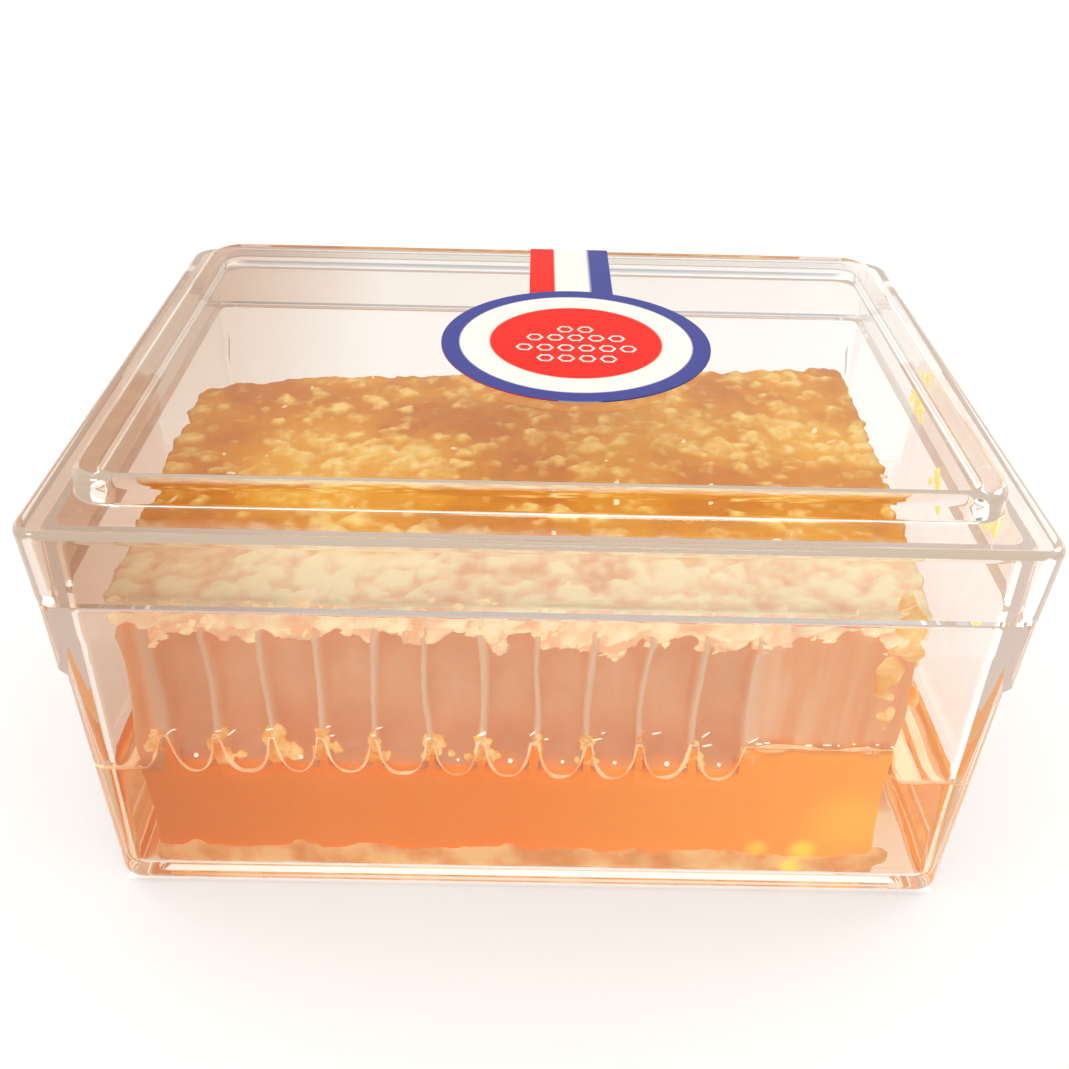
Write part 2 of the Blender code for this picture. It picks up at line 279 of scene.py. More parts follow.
def band(lower, upper):
    """Faces round the gap between two closed loops of as many points."""
    following = [*range(1, len(lower)), 0]
    return [(lower[i], lower[j], upper[j], upper[i]) for i, j in enumerate(following)]


def ring_faces(loops):
    """Faces between loops of point numbers, with one flat face closing each end."""
    faces = [tuple(reversed(loops[0]))]
    for lower, upper in zip(loops, loops[1:]):
        faces += band(lower, upper)
    faces.append(tuple(loops[-1]))
    return faces


def new_piece(name, points, faces, finish, slot, sharp_angle=None):
    """Make a mesh piece that rides with the box and takes the given finish. Its slot is not used."""
    mesh = bpy.data.meshes.new(name)
    mesh.from_pydata([tuple(point) for point in points], [], faces)
    mesh.validate()
    builder = bmesh.new()
    builder.from_mesh(mesh)
    bmesh.ops.recalc_face_normals(builder, faces=builder.faces)
    builder.to_mesh(mesh)
    builder.free()
    mesh.shade_smooth()
    if sharp_angle is not None:
        mesh.set_sharp_from_angle(angle=math.radians(sharp_angle))
    mesh.materials.append(finish)
    piece = bpy.data.objects.new(name, mesh)
    bpy.context.scene.collection.objects.link(piece)
    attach(piece, "root")
    return piece


def loft(name, rings, finish, slot):
    """Skin over rings of equal count. Large flat faces keep their own normals, so that they
    stay optically flat."""
    count = len(rings[0])
    loops = [range(start * count, (start + 1) * count) for start in range(len(rings))]
    points = [point for ring in rings for point in ring]
    piece = new_piece(name, points, ring_faces(loops), finish, slot, PLASTIC_SHARP)
    flat = piece.modifiers.new("flat_faces", "WEIGHTED_NORMAL")
    flat.keep_sharp = True
    flat.weight = 100
    return piece


def with_late_glow(tree, shader, color):
    """Show light that has run along inside a clear piece for long as a soft glow."""
    path = add_node(tree, "ShaderNodeLightPath").outputs
    turns = compute(tree, "MAXIMUM", compute(tree, "MULTIPLY", path["Glossy Depth"], 3.0), path["Ray Depth"])
    glow = add_node(tree, "ShaderNodeEmission", {"Color": color, "Strength": 1.0})
    either = add_node(tree, "ShaderNodeMixShader", {
        0: compute(tree, "GREATER_THAN", turns, LATE_TURNS), 1: shader.outputs[0], 2: glow.outputs[0]})
    tree.links.new(either.outputs[0], tree.nodes["Material Output"].inputs["Surface"])


def clear_plastic(name):
    """Polished clear polystyrene, tinted beige on the left: painted shade for the dimmer, warmer
    surroundings on that side. A painted glow, beige and brighter near the table, stands in for light caught
    in its walls."""
    finish, tree, shader = new_finish(name, {
        "Roughness": 0.0, "IOR": 1.49, "Specular Tint": (0.3, 0.3, 0.3, 1.0), "Transmission Weight": 1.0})
    place, axes = object_axes(tree)
    # Painted shade: the left side is tinted beige.
    paint(tree, shader, color_ramp(tree, share_between(tree, axes["X"], -46.0 * MM, 39.0 * MM), (
        (0.0, (0.82, 0.71, 0.62)), (0.3, (0.97, 0.95, 0.925)), (1.0, (0.99, 0.98, 0.965)),
    )))
    # Painted glow for light caught in the walls, brighter near the table.
    with_late_glow(tree, shader, color_ramp(tree, share_between(tree, axes["Z"], 0.0, 46.0 * MM), (
        (0.0, (1.0, 0.86, 0.74)), (0.06, (0.98, 0.80, 0.68)), (0.15, (0.72, 0.57, 0.48)),
        (0.8, (0.68, 0.56, 0.48)), (1.0, (0.66, 0.53, 0.41)),
    )))
    return finish


def outer_inset(height):
    """Outer face of the tub's drafted wall at a height."""
    return FOOT_INSET + (WALL_TOP_INSET - FOOT_INSET) * height / LEDGE_FOOT_SIDE


def inner_inset(height):
    """Inner face of the tub's wall at a height."""
    foot = FOOT_INSET + TUB_WALL
    return foot + (COLLAR_INNER_INSET - foot) * height / COLLAR_TOP


def tub_rings():
    """Rings from the foot's recess up the outside, over the collar and down to the floor."""
    ledge_foot = LEDGE_FOOT_SIDE - LEDGE_SLOPE
    floor_side = FLOOR_TOP + FLOOR_FILLET
    collar_corner = TUB_CORNER - (COLLAR_INSET - LEDGE_TOP_INSET) / 2
    profile = [
        (FOOT_INSET + FOOT_RIM + FOOT_RECESS, FOOT_RECESS, TUB_INNER_CORNER),
        (FOOT_INSET + FOOT_RIM, 0.0, TUB_INNER_CORNER),
        *((inset, rise, TUB_CORNER) for inset, rise in round_edge(FOOT_INSET, FOOT_EDGE)),
        (outer_inset(ledge_foot), LEDGE_FOOT_FRONT - LEDGE_SLOPE, TUB_CORNER, ledge_foot),
        (LEDGE_FOOT_INSET, LEDGE_FOOT_FRONT, TUB_CORNER, LEDGE_FOOT_SIDE),
        *((inset, LEDGE_TOP - drop, TUB_CORNER)
          for inset, drop in reversed(round_edge(LEDGE_TOP_INSET, BREAK_EDGE, 3))),
        (COLLAR_INSET, LEDGE_TOP, collar_corner),
        *((inset, COLLAR_TOP - drop, collar_corner)
          for inset, drop in reversed(round_edge(COLLAR_INSET, BREAK_EDGE, 3))),
        (COLLAR_INNER_INSET, COLLAR_TOP, TUB_INNER_CORNER),
        *((*place, TUB_INNER_CORNER) for place in fillet(
            (inner_inset(floor_side), floor_side),
            (inner_inset(FLOOR_TOP), FLOOR_TOP),
            (inner_inset(FLOOR_TOP) + FLOOR_FILLET, FLOOR_TOP),
        )),
    ]
    return [box_ring(*place) for place in profile]


tub = loft("clear_tub", tub_rings(), clear_plastic("tub_plastic"), "clear_plastic")
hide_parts("tub")


# ---- Lid ------------------------------------------------------------------------------------
# The lid is moulded in the same clear plastic: a raised panel in a flat flange, with rounded
# edges that catch the light, and a skirt that slides down over the tub's collar.

LID_WALL = 1.2 * MM
FLANGE_EDGE = 0.8 * MM
PANEL_INSET = 5.0 * MM
PANEL_WIDEN = 1.3 * MM
PANEL_WALL = 1.8 * MM
PANEL_EDGE = 1.0 * MM
PANEL_FOOT = 0.25 * MM
SKIRT_END = FLANGE_TOP - 8.0 * MM
SKIRT_DRAFT = 0.4 * MM
LID_CORNER = 2.6 * MM
PANEL_CORNER = 3.6 * MM


def lid_profile():
    """Outside of the lid from the panel out to the skirt's end: inset, height, corner and how
    much nearer the panel comes to the short sides."""
    panel = [(inset, PANEL_TOP - drop) for inset, drop in round_edge(PANEL_INSET, PANEL_EDGE)]
    panel += fillet(
        (PANEL_INSET, FLANGE_TOP + PANEL_FOOT),
        (PANEL_INSET, FLANGE_TOP),
        (PANEL_INSET - PANEL_FOOT, FLANGE_TOP),
    )
    return [
        *((inset, height, PANEL_CORNER, PANEL_WIDEN) for inset, height in panel),
        *((inset, FLANGE_TOP - drop, LID_CORNER, 0.0) for inset, drop in round_edge(0.0, FLANGE_EDGE)),
        (SKIRT_DRAFT, SKIRT_END, LID_CORNER, 0.0),
    ]


def lid_rings():
    """Rings from the panel out over the skirt, and back under the flange and the panel."""
    inner_corner = LID_CORNER - LID_WALL
    step = PANEL_INSET + PANEL_WALL
    step_corner = PANEL_CORNER - LID_WALL
    profile = lid_profile() + [
        (SKIRT_DRAFT + LID_WALL, SKIRT_END, inner_corner, 0.0),
        (LID_WALL, FLANGE_TOP - LID_WALL, inner_corner, 0.0),
        (step, FLANGE_TOP - LID_WALL, step_corner, PANEL_WIDEN),
        (step + PANEL_FOOT, PANEL_TOP - LID_WALL, step_corner, PANEL_WIDEN),
    ]
    return [box_ring(inset, height, corner, widen=widen) for inset, height, corner, widen in profile]


lid = loft("clear_lid", lid_rings(), clear_plastic("lid_plastic"), "clear_plastic")
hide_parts("lid")


# ---- Paper seal -----------------------------------------------------------------------------
# A die-cut paper label: a round medallion in a blue ring, with a three-colour ribbon that is
# stuck down over the lid's back edge and onto the tub. It is printed and lightly varnished.

SEAL_CENTRE = (3.75 * MM, 0.8 * MM)
SEAL_RADIUS = 14.7 * MM
CREAM_RADIUS = 12.7 * MM
RED_RADIUS = 9.45 * MM
SEAL_FILM = 0.15 * MM
SEAL_LIFT = 0.03 * MM
RIBBON_SIDES = (-1.4 * MM, 8.5 * MM)
RIBBON_STRIPES = (1.65 * MM, 5.85 * MM)
RIBBON_END = 24.0 * MM
MEDALLION_STEPS = 120
SEAL_RED = (0.66, 0.008, 0.0)
SEAL_CREAM = (0.74, 0.73, 0.62)
SEAL_BLUE = (0.035, 0.04, 0.20)
PAPER_BACK = (0.85, 0.84, 0.80)
# Painted glow of the paper's back, for light that comes through the paper.
PAPER_GLOW = (0.75, 0.66, 0.55)
NO_GLOW = (0.0, 0.0, 0.0)
PRINT_BLUR = 0.12 * MM


def shift_path(path, distance, closed=False):
    """Move a path of points to its left by a distance, keeping its corners."""
    moved = []
    for i, point in enumerate(path):
        sides = [(path[i - 1], point)] if closed or i > 0 else []
        if closed or i + 1 < len(path):
            sides.append((point, path[(i + 1) % len(path)]))
        out = [0.0, 0.0]
        for a, b in sides:
            length = math.dist(a, b)
            out[0] += (a[1] - b[1]) / length
            out[1] += (b[0] - a[0]) / length
        scale = distance * len(sides) / (out[0] ** 2 + out[1] ** 2)
        moved.append((point[0] + out[0] * scale, point[1] + out[1] * scale))
    return moved


def ribbon_path():
    """The y, z points that the ribbon lies on, over the lid's back edge and down the tub."""
    back = LID_WIDTH / 2
    path = [(back - inset, height) for inset, height, corner, widen in lid_profile()]
    path.append((back - LEDGE_TOP_INSET, LEDGE_TOP - BREAK_EDGE))
    path.append((back - LEDGE_FOOT_INSET, LEDGE_FOOT_FRONT))
    path.append((back - outer_inset(LEDGE_FOOT_SIDE), LEDGE_FOOT_FRONT - 2 * LEDGE_SLOPE))
    path.append((back - outer_inset(RIBBON_END), RIBBON_END))
    return path


def medallion_arc():
    """The medallion's edge, from the ribbon's left side round the front to its right side."""
    right, left = (math.acos((x - SEAL_CENTRE[0]) / SEAL_RADIUS) for x in reversed(RIBBON_SIDES))
    sweep = 2 * math.pi - (left - right)
    points = []
    for step in range(MEDALLION_STEPS + 1):
        angle = left + sweep * step / MEDALLION_STEPS
        x = SEAL_CENTRE[0] + SEAL_RADIUS * math.cos(angle)
        points.append((x, SEAL_CENTRE[1] + SEAL_RADIUS * math.sin(angle)))
    return points


def seal_mesh():
    """Points and faces of the film: one flat sheet for the medallion and the first stretch of
    ribbon, then strips along the path."""
    points = []
    faces = []
    rims = []

    def add(new_points):
        start = len(points)
        points.extend(new_points)
        return list(range(start, len(points)))

    for lift in (SEAL_LIFT, SEAL_LIFT + SEAL_FILM):
        layer = shift_path(ribbon_path(), lift)
        arc = add([(x, y, layer[0][1]) for x, y in medallion_arc()])
        left, right = (add([(x, y, z) for y, z in layer]) for x in RIBBON_SIDES)
        faces.append(tuple(arc + [right[0], left[0]]))
        for i in range(len(layer) - 1):
            faces.append((left[i], right[i], right[i + 1], left[i + 1]))
        rims.append(left[::-1] + arc + right)
    return points, faces + band(*rims)


def mottling(tree, place, scale, detail):
    """Soft random patches, as a number from 0 to 1."""
    return add_node(tree, "ShaderNodeTexNoise", {
        "Vector": place, "Scale": scale, "Detail": detail}).outputs["Fac"]


def blend(tree, share, first, second, way="MIX"):
    """Mix two colours, each plain or linked, by a linked or plain share."""
    mix = add_node(tree, "ShaderNodeMix", data_type="RGBA", blend_type=way)
    for socket, value in ((mix.inputs[0], share), (mix.inputs[6], first), (mix.inputs[7], second)):
        if isinstance(value, bpy.types.NodeSocket):
            tree.links.new(value, socket)
        elif isinstance(value, float):
            socket.default_value = value
        else:
            socket.default_value = (*value, 1.0)
    return mix.outputs[2]


def step_between(tree, value, edge, blur, below, above):
    """Mix two colours across an edge in a distance, softened over blur."""
    return blend(tree, share_between(tree, value, edge - blur, edge + blur), below, above)


def add_bump(tree, shader, height, strength, distance):
    """Raise a fine relief on a surface."""
    relief = add_node(tree, "ShaderNodeBump", {
        "Height": height, "Strength": strength, "Distance": distance})
    tree.links.new(relief.outputs["Normal"], shader.inputs["Normal"])


def printed_paper():
    """Print in fields of colour: rings round the medallion's middle, stripes on the ribbon. Its back glows
    faintly: a painted glow standing in for light that comes through the paper."""
    finish, tree, shader = new_finish("printed_paper", {
        "Roughness": 0.5, "Specular IOR Level": 0.25, "Emission Strength": 1.0})
    place, axes = object_axes(tree)
    flat = add_node(tree, "ShaderNodeCombineXYZ", {"X": axes["X"], "Y": axes["Y"]}).outputs[0]
    reach = measure(tree, "DISTANCE", flat, (*SEAL_CENTRE, 0.0))
    fibre = mottling(tree, place, 900.0, 3.0)
    stripes = step_between(tree, axes["X"], RIBBON_STRIPES[0], PRINT_BLUR, SEAL_RED, SEAL_CREAM)
    stripes = step_between(tree, axes["X"], RIBBON_STRIPES[1], 2 * PRINT_BLUR, stripes, SEAL_BLUE)
    fields = step_between(tree, reach, RED_RADIUS, PRINT_BLUR, SEAL_RED, SEAL_CREAM)
    fields = step_between(tree, reach, CREAM_RADIUS, PRINT_BLUR, fields, SEAL_BLUE)
    fields = step_between(tree, reach, SEAL_RADIUS, PRINT_BLUR / 4, fields, stripes)
    mottle = color_ramp(tree, fibre, ((0.3, (0.94, 0.94, 0.94)), (0.7, (1.0, 1.0, 1.0))))
    printed = blend(tree, 1.0, fields, mottle, "MULTIPLY")
    facing = add_node(tree, "ShaderNodeSeparateXYZ", {
        "Vector": add_node(tree, "ShaderNodeNewGeometry").outputs["True Normal"]}).outputs["Z"]
    paint(tree, shader, step_between(tree, facing, -0.5, 0.1, PAPER_BACK, printed),
          step_between(tree, facing, -0.5, 0.1, PAPER_GLOW, NO_GLOW))
    add_bump(tree, shader, fibre, 0.15, 0.05 * MM)
    return finish


seal = new_piece("ribbon_seal", *seal_mesh(), printed_paper(), "seal_paper", 30)
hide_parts("seal_sticker")


# ---- Seal print -----------------------------------------------------------------------------
# The cream print on the seal's red disc: rows of small cells in outline, in a thin film of ink.

PRINT_FILM = 0.02 * MM
PRINT_CELL = 0.95 * MM
PRINT_LINE = 0.26 * MM
PRINT_PITCH = 2.25 * MM
PRINT_ROWS = ((3.2 * MM, 2), (0.9 * MM, 5), (-1.8 * MM, 6), (-4.5 * MM, 4))

print_points = []
print_faces = []
paper_top = PANEL_TOP + SEAL_LIFT + SEAL_FILM
print_profile = [
    (PRINT_CELL - line, paper_top + rise)
    for line, rise in (
        (0.0, -PRINT_FILM), (0.0, PRINT_FILM), (PRINT_LINE, PRINT_FILM), (PRINT_LINE, -PRINT_FILM))
]
for row_y, count in PRINT_ROWS:
    for i in range(count):
        centre_x = SEAL_CENTRE[0] + (i - (count - 1) / 2) * PRINT_PITCH
        loops = []
        for radius, height in print_profile:
            loops.append(range(len(print_points), len(print_points) + 6))
            for corner in range(6):
                angle = math.pi / 3 * corner
                print_points.append((centre_x + radius * math.cos(angle),
                                     SEAL_CENTRE[1] + row_y + radius * math.sin(angle), height))
        for loop, next_loop in zip(loops, loops[1:] + loops[:1]):
            print_faces += band(loop, next_loop)


def cream_ink():
    """Flat cream ink, a little worn."""
    finish, tree, shader = new_finish("cream_ink", {"Roughness": 0.5, "Specular IOR Level": 0.25})
    place, _ = object_axes(tree)
    paint(tree, shader, color_ramp(tree, mottling(tree, place, 700.0, 2.0), (
        (0.3, (0.80, 0.55, 0.48)), (0.6, (0.86, 0.70, 0.62)),
    )))
    return finish


new_piece("seal_print", print_points, print_faces, cream_ink(), "seal_paper", 30)


# ---- Comb cells -----------------------------------------------------------------------------
# The slab was cut from its frame with a knife and laid flat in the tub, cells upright. The cut
# opened the front row of cells. They are beeswax, pale and thin at the cut, soaked lower down.

COMB_FRONT = -31.85 * MM
COMB_CORNERS = (
    (-39.2 * MM, COMB_FRONT),
    (35.8 * MM, COMB_FRONT),
    (36.6 * MM, -14.0 * MM),
    (37.6 * MM, 18.2 * MM),
    (12.0 * MM, 14.6 * MM),
    (-27.0 * MM, 12.8 * MM),
    (-39.8 * MM, 8.6 * MM),
)
CELL_PITCH = 5.2 * MM
WAX_EDGE = 0.72 * MM
OPEN_START = -36.4 * MM
OPEN_CELLS = 11
OPEN_END = OPEN_START + OPEN_CELLS * CELL_PITCH
OPEN_DEPTH = 4.2 * MM
SCORED_DEPTH = 0.35 * MM
# How open a cell is at each height: its floor curves up between the first and the last.
CELL_BOTTOM = ((0.0, 0.0), (15.4 * MM, 0.0), (16.1 * MM, 0.7), (17.2 * MM, 1.0), (50.0 * MM, 1.0))
SOAKED_BELOW = 15.6 * MM
SOAKED_FRONT = 19.6 * MM
LEFT_SOAKED = 15.4 * MM
CELLS_BOTTOM = 5.0 * MM
CELLS_TOP = 35.4 * MM
RING_STEP = 0.75 * MM
WALL_CLEARANCE = 0.2 * MM
# Painted glow of the wax: its strength, and its colour in the dry and in the shut cells. It stands in for
# light that comes through the wax, and lightens the deep cells.
SOAKED_GLOW = 0.56
DRY_GLOW = (0.20, 0.12, 0.075)
SHUT_GLOW = (0.32, 0.12, 0.05)
# Colour of the painted spots of light.
LIGHT_SPOT_YELLOW = (1.7, 1.15, 0.12)
# Painted spots of yellow light in the glow: where each spot lies on the front, its reach and how much yellow
# it adds.
PAINTED_LIGHT_SPOTS = (
    (23.6 * MM, 6.0 * MM, 1.7 * MM, 0.55), (28.4 * MM, 6.0 * MM, 2.1 * MM, 0.8),
    (27.4 * MM, 3.4 * MM, 1.7 * MM, 0.9), (32.5 * MM, 10.0 * MM, 6.0 * MM, 0.25),
)


def cut_cells(start, end, cells, shape):
    """Points along one cut side. Each cell follows the shape, whose pairs give how far the
    point is from the cell's start and how deep it lies; wax edges stay on the cut."""
    length = math.dist(start, end)
    along = ((end[0] - start[0]) / length, (end[1] - start[1]) / length)
    pitch = length / cells
    points = []
    for cell in range(cells):
        for share, depth in shape:
            distance = cell * pitch + WAX_EDGE / 2 + share * (pitch - WAX_EDGE)
            x = start[0] + along[0] * distance - along[1] * depth
            points.append((x, start[1] + along[1] * distance + along[0] * depth))
    return points


def cells_outline(depth):
    """Outline of the cells, from 0, closed, to 1, fully cut."""
    opened = OPEN_DEPTH * depth
    scored = SCORED_DEPTH * depth
    open_shape = ((0, 0), (0, 0.35 * opened), (0, 0.7 * opened), (0.25, 0.9 * opened),
                  (0.5, opened), (0.75, 0.9 * opened), (1, 0.7 * opened), (1, 0.35 * opened), (1, 0))
    scored_shape = ((0, 0), (0.5, scored), (1, 0))
    open_start = (OPEN_START, COMB_FRONT)
    open_end = (OPEN_END, COMB_FRONT)
    outline = [COMB_CORNERS[0]] + cut_cells(open_start, open_end, OPEN_CELLS, open_shape)
    sides = (open_end, *COMB_CORNERS[1:], COMB_CORNERS[0])
    for start, end in zip(sides, sides[1:]):
        cells = max(round(math.dist(start, end) / CELL_PITCH), 1)
        outline += cut_cells(start, end, cells, scored_shape)
    return np.array(outline)


def softened(outline, passes=2):
    """Round the corners of a closed outline by cutting them."""
    for _ in range(passes):
        after = np.roll(outline, -1, axis=0)
        outline = np.stack((0.75 * outline + 0.25 * after, 0.25 * outline + 0.75 * after), axis=1)
        outline = outline.reshape(-1, 2)
    return outline


def divided(outlines, step):
    """Divide the sides of like outlines, all at the same shares, to lengths under a step."""
    guide = outlines[-1]
    counts = np.ceil(np.linalg.norm(np.roll(guide, -1, axis=0) - guide, axis=1) / step).astype(int)
    counts = np.maximum(counts, 1)
    result = []
    for outline in outlines:
        after = np.roll(outline, -1, axis=0)
        result.append(np.concatenate([
            a + (b - a) * np.arange(count)[:, None] / count
            for a, b, count in zip(outline, after, counts)
        ]))
    return result


def noise_at(points, size, seed):
    """Smooth noise from -1 to 1 at each point, with lumps of a size."""
    return np.array([noise.noise(Vector(point) / size + Vector((seed, seed, seed))) for point in points])


closed_outline, open_outline = divided([softened(cells_outline(depth)) for depth in (0.0, 1.0)],
                                       0.4 * MM)
heights = np.arange(CELLS_BOTTOM, CELLS_TOP + 0.3 * MM, RING_STEP)
cell_rings = []
for height in heights:
    depth = np.interp(height, *zip(*CELL_BOTTOM))
    ring = closed_outline + (open_outline - closed_outline) * depth
    cell_rings.append(np.column_stack((ring, np.full(len(ring), height))))
cell_points = np.concatenate(cell_rings)
stretched = cell_points * (1, 1, 0.6)
cell_points[:, 0] += 0.7 * MM * noise_at(stretched, 6.0 * MM, 3.1)
cell_points[:, 1] += 0.5 * MM * noise_at(stretched, 7.0 * MM, 8.4)
cell_points[:, :2] += 0.10 * MM * np.column_stack((
    noise_at(cell_points, 1.1 * MM, 5.0), noise_at(cell_points, 1.1 * MM, 6.0)))
cell_points[:, 1] = np.maximum(cell_points[:, 1], COMB_FRONT - WALL_CLEARANCE)
# The cells draw in a little towards the caps, which overhang them.
under_caps = np.clip((cell_points[:, 2] - 33.2 * MM) / (1.5 * MM), 0.0, 1.0)
cell_points[:, :2] *= (1 - 0.03 * under_caps)[:, None]
ring_count = len(open_outline)
cell_loops = [range(i * ring_count, (i + 1) * ring_count) for i in range(len(heights))]


def wax_finish(name, roughness=0.45, coat=0.12, glow=0.25):
    """Beeswax: a little light passes through it, and its surface is softly greasy."""
    return new_finish(name, {
        "Roughness": roughness, "IOR": 1.44, "Coat Weight": coat, "Coat Roughness": 0.12,
        "Subsurface Weight": glow, "Subsurface Radius": (1.0, 0.5, 0.25), "Subsurface Scale": 2.0 * MM})


def painted_light_spots(tree, place, color):
    """Add painted spots of bright yellow light to a glow colour, standing in for light that shines through
    the honey's low right corner.
    """
    for x, z, size, share in PAINTED_LIGHT_SPOTS:
        near = add_node(tree, "ShaderNodeMapRange", {
            "Value": measure(tree, "DISTANCE", place, (x, COMB_FRONT, z)),
            "From Min": 0.2 * size, "From Max": size, "To Min": share, "To Max": 0.0,
        }, interpolation_type="SMOOTHSTEP").outputs[0]
        color = blend(tree, near, color, LIGHT_SPOT_YELLOW)
    return color


def cell_wax():
    """Pinkish inside the cells and pale at their cut edges, streaked where the cells are shut, deep orange
    where honey soaks them. A painted glow lightens the wax: orange where soaked, faint in the dry and shut
    cells."""
    finish, tree, shader = wax_finish("cell_wax")
    place, axes = object_axes(tree)
    cloud = mottling(tree, place, 160.0, 4.0)
    inner = color_ramp(tree, cloud, (
        (0.3, (0.82, 0.48, 0.28)), (0.5, (0.88, 0.55, 0.34)), (0.75, (0.93, 0.64, 0.43)),
    ))
    slanted = add_node(tree, "ShaderNodeMapping", {
        "Vector": place, "Rotation": (0.0, 0.22, 0.0), "Scale": (1.0, 1.0, 0.12)}).outputs[0]
    shut = color_ramp(tree, mottling(tree, slanted, 420.0, 2.0), (
        (0.35, (0.90, 0.42, 0.20)), (0.5, (0.95, 0.50, 0.26)), (0.65, (1.0, 0.64, 0.40)),
    ))
    closed = compute(tree, "MAXIMUM",
                     share_between(tree, axes["X"], OPEN_END - 0.3 * MM, OPEN_END + 0.6 * MM),
                     share_between(tree, axes["X"], OPEN_START - 0.4 * MM, OPEN_START - 0.9 * MM))
    closed = compute(tree, "MAXIMUM", closed,
                     share_between(tree, axes["Y"], COMB_FRONT + 5.0 * MM, COMB_FRONT + 6.0 * MM))
    inner = blend(tree, closed, inner, shut)
    pale = share_between(tree, axes["Y"], COMB_FRONT + 1.5 * MM, COMB_FRONT)
    for outside, inside in (
            (OPEN_END + 3.0 * MM, OPEN_END), (OPEN_START - 1.5 * MM, OPEN_START - 0.5 * MM)):
        pale = compute(tree, "MULTIPLY", pale, share_between(tree, axes["X"], outside, inside))
    dry = blend(tree, pale, inner, (0.96, 0.67, 0.48))
    front_limit = share_between(tree, axes["X"], OPEN_START - 0.8 * MM, OPEN_START,
                                LEFT_SOAKED, SOAKED_FRONT)
    limit = share_between(tree, axes["Y"], COMB_FRONT + 1.3 * MM, COMB_FRONT + 0.2 * MM,
                          SOAKED_BELOW, front_limit)
    height = compute(tree, "MULTIPLY_ADD", cloud, 1.5 * MM, axes["Z"])
    soaked = share_between(tree, compute(tree, "SUBTRACT", limit, height), -1.4 * MM, -0.4 * MM)
    wet = color_ramp(tree, share_between(tree, axes["X"], -40.0 * MM, 36.0 * MM), (
        (0.0, (0.76, 0.25, 0.05)), (0.5, (0.88, 0.28, 0.045)), (1.0, (1.0, 0.46, 0.10)),
    ))
    # Painted glow: faint in the dry and shut cells, in the wet colour where soaked.
    glow = blend(tree, soaked, blend(tree, closed, DRY_GLOW, SHUT_GLOW), wet)
    paint(tree, shader, blend(tree, soaked, dry, wet), painted_light_spots(tree, place, glow))
    shader.inputs["Emission Strength"].default_value = SOAKED_GLOW
    add_bump(tree, shader, mottling(tree, place, 1500.0, 3.0), 0.35, 0.1 * MM)
    return finish


cells = new_piece("cut_cells", cell_points, ring_faces(cell_loops), cell_wax(), "cell_wax", 60)
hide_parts("comb_cells")


# ---- Upper caps -----------------------------------------------------------------------------
# A sheet of wax caps that the bees closed the cells with: low domes in rows, golden where honey
# wets them and creamy where dry. The knife tore its front edge into crumbs and hanging flaps.

CAPS_FOOT = 33.7 * MM
CAPS_TOP = 36.7 * MM
CAPS_OVERHANG = 0.5 * MM
CAPS_SKIN = 0.42 * MM
BUMP_SPACING = 2.5 * MM
BUMP_RISE = 0.75 * MM
FRONT_HOLLOW = 0.9 * MM
TORN_FLAPS = 64
# Place along the front, height, half width and half fall, in millimetres.
HANGING_FLAPS = (
    (5.6, 32.4, 2.4, 1.4), (7.4, 31.4, 1.3, 1.2), (3.2, 33.2, 2.2, 1.2), (-22.0, 33.2, 2.6, 0.9),
    (-10.5, 33.0, 2.0, 0.8), (17.5, 33.4, 2.3, 0.8), (24.5, 33.2, 2.5, 0.8), (30.5, 32.9, 2.8, 1.2),
)


def add_lump(builder, centre, radii, turn=0.0, lean=0.0, tilt=0.0, detail=2):
    """Add an egg-shaped lump to melt into its neighbours. A tilt lowers its right end."""
    place = (Matrix.Translation(centre) @ Matrix.Rotation(turn, 4, "Z") @ Matrix.Rotation(lean, 4, "X")
             @ Matrix.Rotation(tilt, 4, "Y") @ Matrix.Diagonal((*radii, 1.0)))
    bmesh.ops.create_icosphere(builder, subdivisions=detail, radius=1.0, matrix=place)


def melted(builder, voxel, relief=0.0, size=1.0, seed=0.0, front=None):
    """Melt overlapping shapes into one closed skin: its points, outward normals and faces. A
    relief of a size lies on it, and no point comes further forward than front."""
    mesh = bpy.data.meshes.new("lumps")
    bmesh.ops.recalc_face_normals(builder, faces=builder.faces)
    builder.to_mesh(mesh)
    builder.free()
    lumps = bpy.data.objects.new("lumps", mesh)
    bpy.context.scene.collection.objects.link(lumps)
    melt = lumps.modifiers.new("melt", "REMESH")
    melt.mode = "VOXEL"
    melt.voxel_size = voxel
    skin = lumps.evaluated_get(bpy.context.evaluated_depsgraph_get()).to_mesh()
    points = np.empty(3 * len(skin.vertices))
    normals = np.empty(3 * len(skin.vertices))
    skin.vertices.foreach_get("co", points)
    skin.vertices.foreach_get("normal", normals)
    faces = [tuple(face.vertices) for face in skin.polygons]
    bpy.data.objects.remove(lumps, do_unlink=True)
    points, normals = points.reshape(-1, 3), normals.reshape(-1, 3)
    if relief:
        points += normals * (relief * noise_at(points, size, seed))[:, None]
    if front is not None:
        points[:, 1] = np.maximum(points[:, 1], front)
    return points, normals, faces


def add_slab(builder, outline, bottom, top):
    """Add a flat-ended slab to melt with its lumps."""
    low, high = ([builder.verts.new((x, y, z)) for x, y in outline] for z in (bottom, top))
    for face in (low[::-1], high, *band(low, high)):
        builder.faces.new(face)


